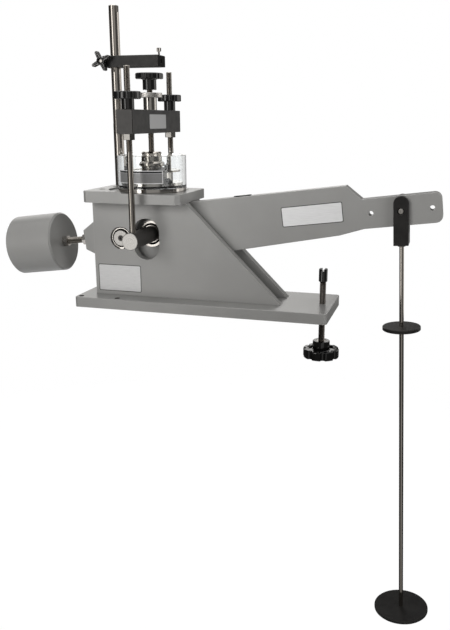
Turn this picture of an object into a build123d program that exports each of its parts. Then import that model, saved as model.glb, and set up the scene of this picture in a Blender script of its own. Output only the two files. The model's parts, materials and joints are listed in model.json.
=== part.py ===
from build123d import *
import os
from math import asin, atan2, cos, degrees, hypot, radians, sin, tan

# Lever-arm consolidation load frame, in millimetres.
# The origin is the centre of the base's bolt pattern on its underside. +X runs along the beam towards the
# weight hanger, +Y to the rear and +Z up. The beam rests tipped up against the platform.

os.makedirs("parts", exist_ok=True)

# Lever
lever_length = 50.8
ratio_holes = (9, 10, 11)
hanger_ratio = 10
hanger_lean = 3.1
stop_gap = 0.2

# Fits, as gaps on the radius or between faces
press_gap = 0.02
running_gap = 0.08
thread_gap = 0.15
body_gap = 0.35
face_gap = 0.1

# Base plate
base_left = 45.6
base_right = 429.8
base_width = 152.0
base_thickness = 19.0
base_corner_radius = 6.0
bolt_spacing_x = 73.0
bolt_inset_y = 11.0
bolt_hole_d = 10.3
edge_break = 0.8

# Side plates, placed from the pivot
pivot_x = 36.5
pivot_above_base = 108.2
plate_gap = 42.2
plate_thickness = 17.0
plate_left = 54.6
plate_toe = 304.0
plate_height = 176.0
plate_slope = 45.0
slot_width = 50.8
slot_height = 76.2

# Platform
platform_overhang = 2.8
platform_length = 186.2
platform_depth = 146.0
platform_thickness = 17.4
platform_corner = 8.0
land_height = 3.1
land_radius = 79.5

# Frame screws
base_screw_d = 8.0
base_screw_head_d = 13.0
base_screw_head_h = 8.0
base_screw_key = 6.0
base_screw_bite = 20.0
base_screw_inset = 25.0
base_screw_toe_inset = 54.0
base_screw_sink = 0.5
platform_screw_d = 6.0
platform_screw_head_d = 12.0
platform_screw_key = 4.0
platform_screw_bite = 16.0
land_screw_inset = 20.2
seat_screw_inset = 24.3

# Pivot bearings and shaft
bearing_bore = 20.0
bearing_od = 42.0
bearing_width = 12.0
bearing_shoulder_d = 36.0
bearing_recess = 1.0
race_wall = 3.5
shield_thickness = 0.6
shield_sink = 0.3
ball_d = 6.2
ball_count = 9
circlip_thickness = 1.4
circlip_reach = 1.1
circlip_width = 3.2
circlip_opening = 9.0
shaft_middle_d = 26.0
cap_d = 30.0
cap_thickness = 3.0
cap_chamfer = 1.0
cap_screw_d = 6.0
cap_screw_head_d = 11.0
cap_screw_key = 5.0
cap_screw_length = 14.0

# Beam, along the line from the pivot through the load holes
beam_thickness = 25.4
beam_height = 101.6
nose_reach = 88.5
nose_height = 36.6
nose_taper = 55.0
belly_start = 95.0
belly_rise = 17.8
tail_height = 50.8
tail_lead = 13.2
tail_overrun = 16.5
tail_radius = 12.0
shoulder_run = 25.4
belly_lead = 43.0
pin_d = 8.0
bush_od = 42.0

# Counterweight
rod_d = 12.7
rod_bite = 40.0
rod_length = 165.0
rod_nut_af = 19.0
rod_nut_h = 8.0
weight_d = 112.0
weight_length = 96.5
weight_chamfer = 3.0
weight_gap = 51.0
locknut_h = 10.0
nut_chamfer = 1.2

# Level
level_at = 232.0
level_length = 32.0
level_width = 9.0
level_depth = 6.0
level_proud = 1.6
level_window_length = 20.0
vial_d = 5.0

# Yoke
crossbar_d = 30.0
crossbar_margin = 13.5
crossbar_chamfer = 0.8
yoke_rod_d = 11.2
yoke_rod_spacing = 194.0
yoke_rod_bite = 9.0
yoke_rod_proud = 41.0
rod_chamfer = 0.8
crosshead_width = 30.0
crosshead_margin = 17.0
crosshead_height = 40.0
crosshead_edge = 0.8
crosshead_lift = 33.0
crosshead_nut_af = 18.5
crosshead_nut_h = 10.0
thumbwheel_d = 45.0
thumbwheel_rim = 12.6
thumbwheel_hub_d = 22.0
thumbwheel_hub_h = 16.6
thumbwheel_flutes = 10
flute_r = 4.6
flute_depth = 1.9
wheel_edge = 1.2

# Loading screw
screw_d = 11.0
screw_bush_d = 24.3
screw_bush_h = 21.6
screw_bush_spigot_d = 18.0
lock_disc_d = 44.0
lock_disc_h = 8.2
lock_disc_edge = 0.8
knob_gap = 4.8
knob_hub_d = 24.8
knob_bore_depth = 13.0
knob_hub_h = 18.6
knob_d = 50.0
knob_rim = 10.2
knob_flutes = 12
knob_flute_depth = 0.9
load_ball_d = 9.0

# Consolidation cell, built out from the specimen ring and stacked up from the platform
ring_bore = 63.5
ring_wall = 6.25
ring_seat = 9.6
ring_height = 26.0
stone_clearance = 0.25
lower_stone_h = 6.0
stone_floor = 4.6
stud_standoff = 8.0
stud_d = 5.0
stud_count = 3
stud_angle = 73.0
stud_proud = 9.0
stud_bite = 7.0
clamp_ring_margin = 6.0
clamp_ring_step = 1.25
clamp_ring_h = 3.0
bath_margin = 4.7
cell_flange_h = 7.1
spigot_top = 16.6
wall_thickness = 6.0
wall_height = 58.0
wall_edge = 0.6
oring_section = 3.8
oring_height = 9.9
cell_nut_d = 12.0
cell_nut_h = 6.5
drain_angle = -32.0
drain_d = 15.0
drain_h = 4.5
drain_neck_d = 6.0
drain_neck_h = 4.0
specimen_height = 19.5
upper_stone_h = 5.0
cap_disc_h = 2.6
cap_neck_d = 37.4
cap_neck_h = 8.7
cap_flange_d = 46.4
cap_flange_h = 4.2
cap_crown_h = 20.0
cap_crown_chamfer = 2.4
cap_groove_depth = 1.2
cap_groove_h = 2.0
cap_groove_at = 6.0
cap_seat_clear = 1.2
cap_seat_depth = 6.0

# Dial gauge support
post_d = 19.05
post_inset_x = 17.4
post_inset_y = 16.0
post_above_arm = 88.7
post_spigot_d = 12.0
post_flat_across = 14.0
post_flat_h = 12.0
bush_wall = 1.6
arm_clear = 7.3
arm_height = 20.2
arm_width = 38.0
arm_tail = 20.0
arm_past_axis = 1.3
arm_edge = 0.8
arm_tail_radius = 5.0
arm_slit = 2.0
clamp_stud_d = 5.0
clamp_stud_setback = 5.0
clamp_stud_bite = 12.0
star_span = 38.0
star_arm_width = 8.0
star_tip_width = 6.0
star_hub_d = 15.0
star_thickness = 9.0
star_neck_d = 12.0
star_neck_h = 7.7
star_rim = 1.8
star_hollow = 2.0
star_recess_d = 11.0
star_recess_depth = 4.5
stud_end_proud = 1.0
star_turn = 27.0
gauge_bore_d = 8.0
gauge_bore_depth = 24.0
thumb_setback = 4.4
thumb_d = 4.0
thumb_head_d = 8.6
thumb_head_h = 6.4
thumb_neck = 6.6

# Weight hanger, down from its pin
clevis_width = 25.0
clevis_above_pin = 25.4
clevis_below_pin = 58.2
clevis_ear = 9.0
clevis_floor = 20.0
clevis_side_gap = 0.8
pin_head_d = 9.4
pin_head_h = 2.4
pin_slot = 1.2
pin_recess_d = 12.6
pin_recess_depth = 2.2
clip_d = 14.0
clip_thickness = 1.2
hanger_rod_d = 8.0
hanger_rod_bite = 14.0
hanger_nut_af = 13.0
hanger_nut_h = 4.0
middle_disc_drop = 204.0
middle_disc_d = 66.5
middle_disc_h = 6.5
bottom_disc_drop = 769.8
bottom_disc_d = 101.6
bottom_disc_h = 5.5
disc_boss_d = 14.0
disc_boss_h = 5.0
disc_edge = 0.8

# Beam support jack
jack_inset = 20.0
jack_d = 12.0
jack_below_level = 9.6
jack_cap_d = 15.6
jack_cap_h = 23.5
jack_cap_socket = 16.0
jack_tip_d = 8.0
jack_notch_width = 5.0
jack_notch_depth = 4.0
jack_wheel_drop = 65.0
jack_wheel_d = 65.0
jack_wheel_h = 16.4
jack_wheel_flutes = 8
jack_wheel_turn = 15.5
jack_flute_r = 5.0
jack_flute_depth = 4.4
jack_web_d = 50.0
jack_web_sink = 3.0
jack_hub_d = 31.0
jack_hub_h = 14.6
jack_insert_d = 18.0
jack_insert_sink = 1.0

# Heights and places that follow
base_top = base_thickness
plate_top = base_top + plate_height
platform_top = plate_top + platform_thickness
land_top = platform_top + land_height
pivot_z = base_top + pivot_above_base
plate_outer = plate_gap / 2 + plate_thickness
plate_middle = plate_gap / 2 + plate_thickness / 2
plate_top_right = plate_toe - plate_height / tan(radians(plate_slope))
platform_left = pivot_x - plate_left - platform_overhang
platform_right = platform_left + platform_length

# The beam's top edge stops against the lower edge of the platform, which sets its tilt at rest.
stop_x = platform_right - pivot_x
stop_z = plate_top - pivot_z
rest_tilt = degrees(atan2(stop_z, stop_x) - asin((beam_height / 2 + stop_gap) / hypot(stop_x, stop_z)))

beam_plane = Plane(
    origin=(pivot_x, 0, pivot_z),
    x_dir=(cos(radians(rest_tilt)), 0, sin(radians(rest_tilt))),
    z_dir=(0, -1, 0),
)


def beam_point(along, above=0.0, across=0.0):
    """A point given along, above and across the beam, in the part's frame."""
    return beam_plane.from_local_coords(Vector(along, above, -across))


beam_along = beam_plane.x_dir
beam_up = beam_plane.y_dir
load_point = beam_point(lever_length)
load_x = load_point.X
load_z = load_point.Z
pin_point = beam_point(hanger_ratio * lever_length)
tail_start = ratio_holes[0] * lever_length - tail_lead
tail_end = ratio_holes[-1] * lever_length + tail_overrun
belly_end = tail_start - belly_lead
belly_bottom = -beam_height / 2 + belly_rise

race_inner_face = plate_outer - bearing_recess - circlip_thickness - bearing_width
race_outer_face = race_inner_face + bearing_width

floor_z = platform_top + stone_floor
lower_stone_top = floor_z + lower_stone_h
ring_bottom = platform_top + ring_seat
ring_top = ring_bottom + ring_height
clamp_top = ring_top + clamp_ring_h
spigot_z = platform_top + spigot_top
upper_stone_z = lower_stone_top + specimen_height
cap_z = upper_stone_z + upper_stone_h
cap_top = cap_z + cap_disc_h + cap_neck_h + cap_flange_h + cap_crown_h
ring_od = ring_bore + 2 * ring_wall
stone_d = ring_bore - 2 * stone_clearance
stud_circle_d = ring_od + 2 * stud_standoff
clamp_ring_od = stud_circle_d + 2 * clamp_ring_margin
clamp_ring_bore = ring_bore + 2 * clamp_ring_step
wall_bottom = platform_top + cell_flange_h
wall_bore_d = clamp_ring_od + 2 * bath_margin
cell_d = wall_bore_d + 2 * wall_thickness
spigot_d = wall_bore_d - 2 * body_gap

crosshead_bottom = cap_top + crosshead_lift
crosshead_top = crosshead_bottom + crosshead_height
bush_top = crosshead_top + screw_bush_h
lock_disc_bottom = bush_top + face_gap
knob_bottom = lock_disc_bottom + lock_disc_h + knob_gap
rim_bottom = crosshead_top + face_gap + thumbwheel_hub_h
rod_top = rim_bottom + thumbwheel_rim + yoke_rod_proud
ball_centre = cap_top - cap_seat_depth + body_gap + load_ball_d / 2

post_x = platform_left + post_inset_x
post_y = platform_depth / 2 - post_inset_y
arm_bottom = rod_top + arm_clear
arm_top = arm_bottom + arm_height
arm_front = post_y - arm_width / 2
arm_left = post_x - arm_tail
arm_right = load_x + arm_past_axis
bush_outer_r = post_d / 2 + running_gap + bush_wall
arm_bore_r = bush_outer_r + running_gap
stud_x = arm_left + clamp_stud_setback
thumb_x = arm_right - thumb_setback

jack_x = base_right - jack_inset
bolt_spacing_y = base_width - 2 * bolt_inset_y


def belly_at(along):
    """Height of the beam's lower edge at a distance along the beam, from its centre line."""
    share = (along - belly_start) / (belly_end - belly_start)
    return -beam_height / 2 + belly_rise * share


jack_top = pivot_z + belly_at(jack_x - pivot_x) - jack_below_level
jack_cap_bottom = jack_top - jack_cap_h

hanger_plane = Plane(
    origin=pin_point,
    x_dir=(cos(radians(hanger_lean)), 0, sin(radians(hanger_lean))),
    z_dir=(-sin(radians(hanger_lean)), 0, cos(radians(hanger_lean))),
)
hanger_front = Plane(origin=pin_point, x_dir=hanger_plane.x_dir, z_dir=(0, -1, 0))
clevis_half = beam_thickness / 2 + clevis_side_gap + clevis_ear


def save(builder, label):
    """Name a finished piece and write it."""
    builder.part.label = label
    export_step(builder.part, f"parts/{label}.step")


def upright(x, y, z):
    """A level plane at a point, with its normal up."""
    return Plane(origin=(x, y, z))


def facing(y, x=0.0, z=0.0):
    """An upright plane at a depth, drawn as seen from the front: X right, Z up, normal to the front."""
    return Plane(origin=(x, y, z), x_dir=(1, 0, 0), z_dir=(0, -1, 0))


def side_axis(x, z):
    """An axis along Y through a point."""
    return Axis((x, 0, z), (0, 1, 0))


# Base plate
plate_screw_x = [
    pivot_x - plate_left + base_screw_inset,
    pivot_x + (plate_toe - base_screw_toe_inset - plate_left + base_screw_inset) / 2,
    pivot_x + plate_toe - base_screw_toe_inset,
]
base_screw_spots = [(x, side * plate_middle) for x in plate_screw_x for side in (-1, 1)]
counterbore_depth = base_screw_sink + base_screw_head_h

with BuildPart() as base_plate:
    with BuildSketch() as base_outline:
        with Locations(((base_right - base_left) / 2, 0)):
            RectangleRounded(base_right + base_left, base_width, base_corner_radius)
    extrude(amount=base_thickness)
    chamfer(base_plate.faces().sort_by(Axis.Z)[-1].outer_wire().edges(), edge_break)
    with BuildSketch() as base_through:
        with GridLocations(bolt_spacing_x, bolt_spacing_y, 2, 2):
            Circle(bolt_hole_d / 2)
        with Locations((jack_x, 0)):
            Circle(jack_d / 2 + thread_gap)
        with Locations(*base_screw_spots):
            Circle(base_screw_d / 2 + thread_gap)
    extrude(amount=base_thickness, mode=Mode.SUBTRACT)
    with BuildSketch() as base_counterbores:
        with Locations(*base_screw_spots):
            Circle(base_screw_head_d / 2 + body_gap)
    extrude(amount=counterbore_depth, mode=Mode.SUBTRACT)
save(base_plate, "base_plate")

with BuildPart() as base_screws:
    with BuildSketch(Plane.XY.offset(base_screw_sink)):
        with Locations(*base_screw_spots):
            Circle(base_screw_head_d / 2)
    extrude(amount=base_screw_head_h)
    with BuildSketch(Plane.XY.offset(base_screw_sink + base_screw_head_h)):
        with Locations(*base_screw_spots):
            Circle(base_screw_d / 2)
    extrude(amount=base_top + base_screw_bite - counterbore_depth)
    with BuildSketch(Plane.XY.offset(base_screw_sink)):
        with Locations(*base_screw_spots):
            RegularPolygon(base_screw_key / 2, 6, major_radius=False)
    extrude(amount=base_screw_head_h / 2, mode=Mode.SUBTRACT)
save(base_screws, "base_screws")

# Side plates
land_screw_x = platform_left + land_screw_inset
seat_screw_x = platform_right - seat_screw_inset
platform_screw_spots = [
    (x, side * plate_middle, top)
    for x, top in ((land_screw_x, land_top), (seat_screw_x, platform_top))
    for side in (-1, 1)
]


def side_plate(side):
    """One side plate, front for -1 and rear for 1, with its bearing seat, yoke slot and screw holes."""
    outer = side * plate_outer
    seat_depth = plate_outer - race_inner_face
    with BuildPart() as plate:
        with BuildSketch(facing(side * plate_gap / 2, pivot_x, base_top)):
            with BuildLine():
                Polyline(
                    (-plate_left, 0),
                    (plate_toe, 0),
                    (plate_top_right, plate_height),
                    (-plate_left, plate_height),
                    close=True,
                )
            make_face()
            with Locations((0, pivot_above_base)):
                Circle(bearing_shoulder_d / 2, mode=Mode.SUBTRACT)
            with Locations((lever_length, pivot_above_base)):
                SlotOverall(slot_height, slot_width, rotation=90, mode=Mode.SUBTRACT)
        extrude(amount=-side * plate_thickness)
        with BuildSketch(facing(outer, pivot_x, pivot_z)):
            Circle(bearing_od / 2 + press_gap)
        extrude(amount=side * seat_depth, mode=Mode.SUBTRACT)
        with BuildSketch(facing(outer - side * bearing_recess, pivot_x, pivot_z)):
            Circle(bearing_od / 2 + circlip_reach)
        extrude(amount=side * circlip_thickness, mode=Mode.SUBTRACT)
        with BuildSketch(Plane.XY.offset(base_top)):
            with Locations(*[spot for spot in base_screw_spots if spot[1] * side > 0]):
                Circle(base_screw_d / 2 + press_gap)
        extrude(amount=base_screw_bite, mode=Mode.SUBTRACT)
        with BuildSketch(Plane.XY.offset(plate_top)):
            with Locations(*[(x, y) for x, y, top in platform_screw_spots if y * side > 0]):
                Circle(platform_screw_d / 2 + press_gap)
        extrude(amount=-platform_screw_bite, mode=Mode.SUBTRACT)
    return plate


front_side_plate = side_plate(-1)
save(front_side_plate, "front_side_plate")
rear_side_plate = side_plate(1)
save(rear_side_plate, "rear_side_plate")

# Platform
platform_middle_x = (platform_left + platform_right) / 2
platform_head_h = (platform_screw_head_d - platform_screw_d) / 2

with BuildPart() as top_plate:
    with BuildSketch(Plane.XY.offset(plate_top)) as platform_outline:
        with Locations((platform_middle_x, 0)):
            Rectangle(platform_length, platform_depth)
        chamfer(platform_outline.vertices(), platform_corner)
        with Locations((post_x, post_y)):
            Circle(post_spigot_d / 2 + press_gap, mode=Mode.SUBTRACT)
    extrude(amount=platform_thickness + land_height)
    with BuildSketch(Plane.XY.offset(platform_top)):
        with Locations((load_x, 0)):
            Circle(land_radius)
        with Locations(((load_x + platform_right) / 2, 0)):
            Rectangle(platform_right - load_x, platform_depth)
    extrude(amount=land_height, mode=Mode.SUBTRACT)
    seat_face, land_face = top_plate.faces().filter_by(Axis.Z).sort_by(Axis.Z)[-2:]
    seat_edges = seat_face.outer_wire().edges().filter_by(GeomType.LINE)
    chamfer(land_face.outer_wire().edges() + seat_edges, edge_break)
    with Locations(*platform_screw_spots):
        CounterSinkHole(
            platform_screw_d / 2 + press_gap, platform_screw_head_d / 2 + press_gap, counter_sink_angle=90
        )
save(top_plate, "top_plate")

with BuildPart() as platform_screws:
    for x, y, top in platform_screw_spots:
        with BuildSketch(upright(x, y, top - platform_head_h)):
            Circle(platform_screw_d / 2)
        extrude(amount=-(top - platform_head_h - plate_top + platform_screw_bite))
        with BuildSketch(upright(x, y, top - platform_head_h)):
            Circle(platform_screw_d / 2)
        extrude(amount=platform_head_h, taper=-45)
        with BuildSketch(upright(x, y, top)):
            RegularPolygon(platform_screw_key / 2, 6, major_radius=False)
        extrude(amount=-platform_head_h, mode=Mode.SUBTRACT)
save(platform_screws, "platform_screws")

# Pivot bearings
pivot_axis = side_axis(pivot_x, pivot_z)
race_middle = race_inner_face + bearing_width / 2
inner_race_r = bearing_bore / 2 + race_wall
outer_race_r = bearing_od / 2 - race_wall
ball_circle_r = (inner_race_r + outer_race_r) / 2
groove_r = ball_d / 2 + thread_gap


def race_plane(side):
    """Plane for a bearing's section: distance from the pivot axis across, along the axis up."""
    return Plane(origin=(pivot_x, side * race_middle, pivot_z), x_dir=(1, 0, 0), z_dir=(0, 0, 1))


with BuildPart() as bearing_outer_races:
    for side in (-1, 1):
        with BuildSketch(race_plane(side)):
            with Locations((bearing_od / 2 - race_wall / 2, 0)):
                Rectangle(race_wall, bearing_width)
            with Locations((ball_circle_r, 0)):
                Circle(groove_r, mode=Mode.SUBTRACT)
            for end in (-1, 1):
                shield_middle = bearing_width / 2 - shield_sink - shield_thickness / 2
                with Locations(((inner_race_r + body_gap + outer_race_r) / 2, end * shield_middle)):
                    Rectangle(outer_race_r - inner_race_r - body_gap, shield_thickness)
        revolve(axis=pivot_axis)
save(bearing_outer_races, "bearing_outer_races")

with BuildPart() as bearing_inner_races:
    for side in (-1, 1):
        with BuildSketch(race_plane(side)):
            with Locations((bearing_bore / 2 + race_wall / 2, 0)):
                Rectangle(race_wall - press_gap, bearing_width)
            with Locations((ball_circle_r, 0)):
                Circle(groove_r, mode=Mode.SUBTRACT)
        revolve(axis=pivot_axis)
save(bearing_inner_races, "bearing_inner_races")

with BuildPart() as bearing_balls:
    for side in (-1, 1):
        with Locations(facing(side * race_middle, pivot_x, pivot_z)):
            with PolarLocations(ball_circle_r, ball_count):
                Sphere(ball_d / 2)
save(bearing_balls, "bearing_balls")

with BuildPart() as circlips:
    for side in (-1, 1):
        with BuildSketch(facing(side * (plate_outer - bearing_recess), pivot_x, pivot_z)):
            Circle(bearing_od / 2 + circlip_reach - press_gap)
            Circle(bearing_od / 2 + circlip_reach - circlip_width, mode=Mode.SUBTRACT)
            with Locations((0, -bearing_od / 2)):
                Rectangle(circlip_opening, 2 * circlip_width, mode=Mode.SUBTRACT)
        extrude(amount=side * circlip_thickness)
save(circlips, "circlips")

# Pivot shaft
with BuildPart() as pivot_shaft:
    with BuildSketch(facing(0, pivot_x, pivot_z)):
        Circle(shaft_middle_d / 2)
    extrude(amount=race_inner_face, both=True)
    with BuildSketch(facing(0, pivot_x, pivot_z)):
        Circle(bearing_bore / 2)
    extrude(amount=race_outer_face, both=True)
    for side in (-1, 1):
        with BuildSketch(facing(side * race_outer_face, pivot_x, pivot_z)):
            Circle(cap_screw_d / 2 + press_gap)
        extrude(amount=side * cap_screw_length, mode=Mode.SUBTRACT)
save(pivot_shaft, "pivot_shaft")

cap_head_h = (cap_screw_head_d - cap_screw_d) / 2

with BuildPart() as shaft_end_caps:
    for side in (-1, 1):
        with BuildSketch(facing(side * race_outer_face, pivot_x, pivot_z)):
            Circle(cap_d / 2)
        extrude(amount=-side * cap_thickness)
        with BuildSketch(facing(side * race_outer_face, pivot_x, pivot_z)):
            Circle(cap_screw_d / 2 + press_gap)
        extrude(amount=-side * cap_thickness, mode=Mode.SUBTRACT)
        with BuildSketch(facing(side * (race_outer_face + cap_thickness), pivot_x, pivot_z)):
            Circle(cap_screw_head_d / 2 + press_gap)
        extrude(amount=side * cap_head_h, taper=45, mode=Mode.SUBTRACT)
    cap_rounds = shaft_end_caps.edges().filter_by(GeomType.CIRCLE).group_by(Axis.Y)
    for outer_rounds in (cap_rounds[0], cap_rounds[-1]):
        chamfer(outer_rounds.sort_by(SortBy.RADIUS)[-1], cap_chamfer)
save(shaft_end_caps, "shaft_end_caps")

with BuildPart() as shaft_end_screws:
    for side in (-1, 1):
        with BuildSketch(facing(side * (race_outer_face + cap_thickness), pivot_x, pivot_z)):
            Circle(cap_screw_head_d / 2)
        extrude(amount=side * cap_head_h, taper=45)
        with BuildSketch(facing(side * (race_outer_face + cap_thickness - cap_head_h), pivot_x, pivot_z)):
            Circle(cap_screw_d / 2)
        extrude(amount=side * (cap_screw_length - face_gap + cap_thickness - cap_head_h))
        with BuildSketch(facing(side * (race_outer_face + cap_thickness), pivot_x, pivot_z)):
            RegularPolygon(cap_screw_key / 2, 6, major_radius=False)
        extrude(amount=side * cap_thickness, mode=Mode.SUBTRACT)
save(shaft_end_screws, "shaft_end_screws")

# Beam
level_plane = Plane(origin=beam_point(level_at, beam_height / 2), x_dir=beam_along, z_dir=beam_up)
nose_plane = Plane(origin=beam_point(-nose_reach), x_dir=(0, 1, 0), z_dir=-beam_along)

with BuildPart() as beam:
    with BuildSketch(beam_plane) as beam_outline:
        with BuildLine():
            Polyline(
                (-nose_reach, -nose_height / 2),
                (-nose_reach + nose_taper, -beam_height / 2),
                (belly_start, -beam_height / 2),
                (belly_end, belly_bottom),
                (tail_start, -tail_height / 2),
                (tail_end, -tail_height / 2),
                (tail_end, tail_height / 2),
                (tail_start, tail_height / 2),
                (tail_start - shoulder_run, beam_height / 2),
                (-nose_reach + nose_taper, beam_height / 2),
                (-nose_reach, nose_height / 2),
                close=True,
            )
        make_face()
        fillet(beam_outline.vertices().sort_by(Axis.X)[-2:], tail_radius)
    extrude(amount=beam_thickness / 2, both=True)
    chamfer(beam.faces().sort_by(Axis.Y)[0].edges() + beam.faces().sort_by(Axis.Y)[-1].edges(), edge_break)
    with BuildSketch(beam_plane):
        Circle(shaft_middle_d / 2 + press_gap)
        with Locations((lever_length, 0)):
            Circle(bush_od / 2 + press_gap)
        with Locations(*[(ratio * lever_length, 0) for ratio in ratio_holes]):
            Circle(pin_d / 2 + body_gap)
    extrude(amount=beam_thickness, both=True, mode=Mode.SUBTRACT)
    with BuildSketch(nose_plane):
        Circle(rod_d / 2 + press_gap)
    extrude(amount=-rod_bite, mode=Mode.SUBTRACT)
    with BuildSketch(level_plane):
        RectangleRounded(level_length + 2 * press_gap, level_width + 2 * press_gap, level_width / 3)
    extrude(amount=-level_depth, mode=Mode.SUBTRACT)
save(beam, "beam")

with BuildPart() as yoke_bush:
    with BuildSketch(Plane(origin=load_point, x_dir=beam_along, z_dir=(0, -1, 0))):
        Circle(bush_od / 2)
        Circle(crossbar_d / 2 + running_gap, mode=Mode.SUBTRACT)
    extrude(amount=beam_thickness / 2, both=True)
save(yoke_bush, "yoke_bush")

# Level in the beam's top edge
vial_axis_height = level_proud - vial_d / 2 - press_gap
vial_plane = Plane(
    origin=beam_point(level_at, beam_height / 2 + vial_axis_height), x_dir=(0, 1, 0), z_dir=beam_along
)

with BuildPart() as level_housing:
    with BuildSketch(level_plane.offset(-level_depth)):
        RectangleRounded(level_length, level_width, level_width / 3)
    extrude(amount=level_depth + level_proud)
    with BuildSketch(vial_plane):
        Circle(vial_d / 2 + press_gap)
    extrude(amount=level_window_length / 2 + press_gap, both=True, mode=Mode.SUBTRACT)
    with BuildSketch(level_plane.offset(vial_axis_height)):
        Rectangle(level_window_length + 2 * press_gap, vial_d + 2 * press_gap)
    extrude(amount=vial_d, mode=Mode.SUBTRACT)
save(level_housing, "level_housing")

with BuildPart() as level_vial:
    with BuildSketch(vial_plane):
        Circle(vial_d / 2)
    extrude(amount=level_window_length / 2, both=True)
save(level_vial, "level_vial")

# Counterweight and its rod
rod_start = -nose_reach + rod_bite
weight_face = -nose_reach - weight_gap
rod_plane = Plane(origin=beam_point(rod_start), x_dir=(0, 1, 0), z_dir=-beam_along)
weight_plane = Plane(origin=beam_point(weight_face), x_dir=(0, 1, 0), z_dir=-beam_along)

with BuildPart() as counterweight_rod:
    with BuildSketch(rod_plane):
        Circle(rod_d / 2)
    extrude(amount=rod_length)
    chamfer(counterweight_rod.edges().filter_by(GeomType.CIRCLE), rod_chamfer)
save(counterweight_rod, "counterweight_rod")


def hex_nut(plane, across_flats, height, bore_r):
    """A hex nut standing on a plane, its outer corners turned down at the free end."""
    with BuildPart() as nut:
        with BuildSketch(plane):
            RegularPolygon(across_flats / 2, 6, major_radius=False)
        extrude(amount=height)
        with BuildSketch(plane.offset(height)):
            Circle(across_flats / 2)
        extrude(amount=-height, taper=-60, mode=Mode.INTERSECT)
        with BuildSketch(plane):
            Circle(bore_r)
        extrude(amount=height, mode=Mode.SUBTRACT)
    return nut


rod_nut = hex_nut(nose_plane, rod_nut_af, rod_nut_h, rod_d / 2 + press_gap)
save(rod_nut, "rod_nut")

with BuildPart() as counterweight:
    with BuildSketch(weight_plane):
        Circle(weight_d / 2)
    extrude(amount=weight_length)
    chamfer(counterweight.edges().filter_by(GeomType.CIRCLE), weight_chamfer)
    with BuildSketch(weight_plane):
        Circle(rod_d / 2 + thread_gap)
    extrude(amount=weight_length, mode=Mode.SUBTRACT)
save(counterweight, "counterweight")

locknut_plane = Plane(origin=beam_point(weight_face), x_dir=(0, 1, 0), z_dir=beam_along)
counterweight_locknut = hex_nut(locknut_plane, rod_nut_af, locknut_h, rod_d / 2 + thread_gap)
save(counterweight_locknut, "counterweight_locknut")

# Yoke
rod_spots = [(load_x, side * yoke_rod_spacing / 2) for side in (-1, 1)]

with BuildPart() as lower_crossbar:
    with BuildSketch(facing(0, load_x, load_z)):
        Circle(crossbar_d / 2)
    extrude(amount=yoke_rod_spacing / 2 + crossbar_margin, both=True)
    chamfer(lower_crossbar.edges().filter_by(GeomType.CIRCLE), crossbar_chamfer)
    with BuildSketch(Plane.XY.offset(load_z - yoke_rod_bite)):
        with Locations(*rod_spots):
            Circle(yoke_rod_d / 2 + press_gap)
    extrude(amount=yoke_rod_bite + crossbar_d, mode=Mode.SUBTRACT)
save(lower_crossbar, "lower_crossbar")


def yoke_rod(side):
    """One upright of the yoke, from the crossbar to above the crosshead."""
    with BuildPart() as rod:
        with BuildSketch(upright(load_x, side * yoke_rod_spacing / 2, load_z - yoke_rod_bite)):
            Circle(yoke_rod_d / 2)
        extrude(amount=rod_top - load_z + yoke_rod_bite)
        chamfer(rod.edges().filter_by(GeomType.CIRCLE).sort_by(Axis.Z)[-1], rod_chamfer)
    return rod


front_yoke_rod = yoke_rod(-1)
save(front_yoke_rod, "front_yoke_rod")
rear_yoke_rod = yoke_rod(1)
save(rear_yoke_rod, "rear_yoke_rod")

with BuildPart() as crosshead:
    with BuildSketch(upright(load_x, 0, crosshead_bottom)):
        Rectangle(crosshead_width, yoke_rod_spacing + 2 * crosshead_margin)
    extrude(amount=crosshead_height)
    chamfer(crosshead.edges(), crosshead_edge)
    with BuildSketch(Plane.XY.offset(crosshead_bottom)):
        with Locations(*rod_spots):
            Circle(yoke_rod_d / 2 + thread_gap)
        with Locations((load_x, 0)):
            Circle(screw_bush_spigot_d / 2 + press_gap)
    extrude(amount=crosshead_height, mode=Mode.SUBTRACT)
save(crosshead, "crosshead")

with BuildPart() as crosshead_nuts:
    for spot in rod_spots:
        with BuildSketch(upright(spot[0], spot[1], crosshead_bottom - crosshead_nut_h)):
            RegularPolygon(crosshead_nut_af / 2, 6, major_radius=False)
            Circle(yoke_rod_d / 2 + press_gap, mode=Mode.SUBTRACT)
        extrude(amount=crosshead_nut_h)
    chamfer(crosshead_nuts.faces().sort_by(Axis.Z)[:2].edges().filter_by(GeomType.LINE), nut_chamfer / 2)
save(crosshead_nuts, "crosshead_nuts")


def fluted_outline(diameter, flutes, radius, depth, turn=0):
    """A round outline with round flutes cut into it, the first one turned from the X axis."""
    Circle(diameter / 2)
    with PolarLocations(diameter / 2 + radius - depth, flutes, start_angle=turn):
        Circle(radius, mode=Mode.SUBTRACT)


def thumbwheel(side):
    """A fluted thumbwheel on a long hub, screwed down on the crosshead."""
    y = side * yoke_rod_spacing / 2
    with BuildPart() as wheel:
        with BuildSketch(upright(load_x, y, rim_bottom)):
            fluted_outline(thumbwheel_d, thumbwheel_flutes, flute_r, flute_depth)
        extrude(amount=thumbwheel_rim)
        chamfer(wheel.faces().sort_by(Axis.Z)[-1].edges(), wheel_edge)
        with BuildSketch(upright(load_x, y, crosshead_top + face_gap)):
            Circle(thumbwheel_hub_d / 2)
        extrude(amount=thumbwheel_hub_h)
        with BuildSketch(upright(load_x, y, crosshead_top + face_gap)):
            Circle(yoke_rod_d / 2 + thread_gap)
        extrude(amount=thumbwheel_hub_h + thumbwheel_rim, mode=Mode.SUBTRACT)
    return wheel


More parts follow.
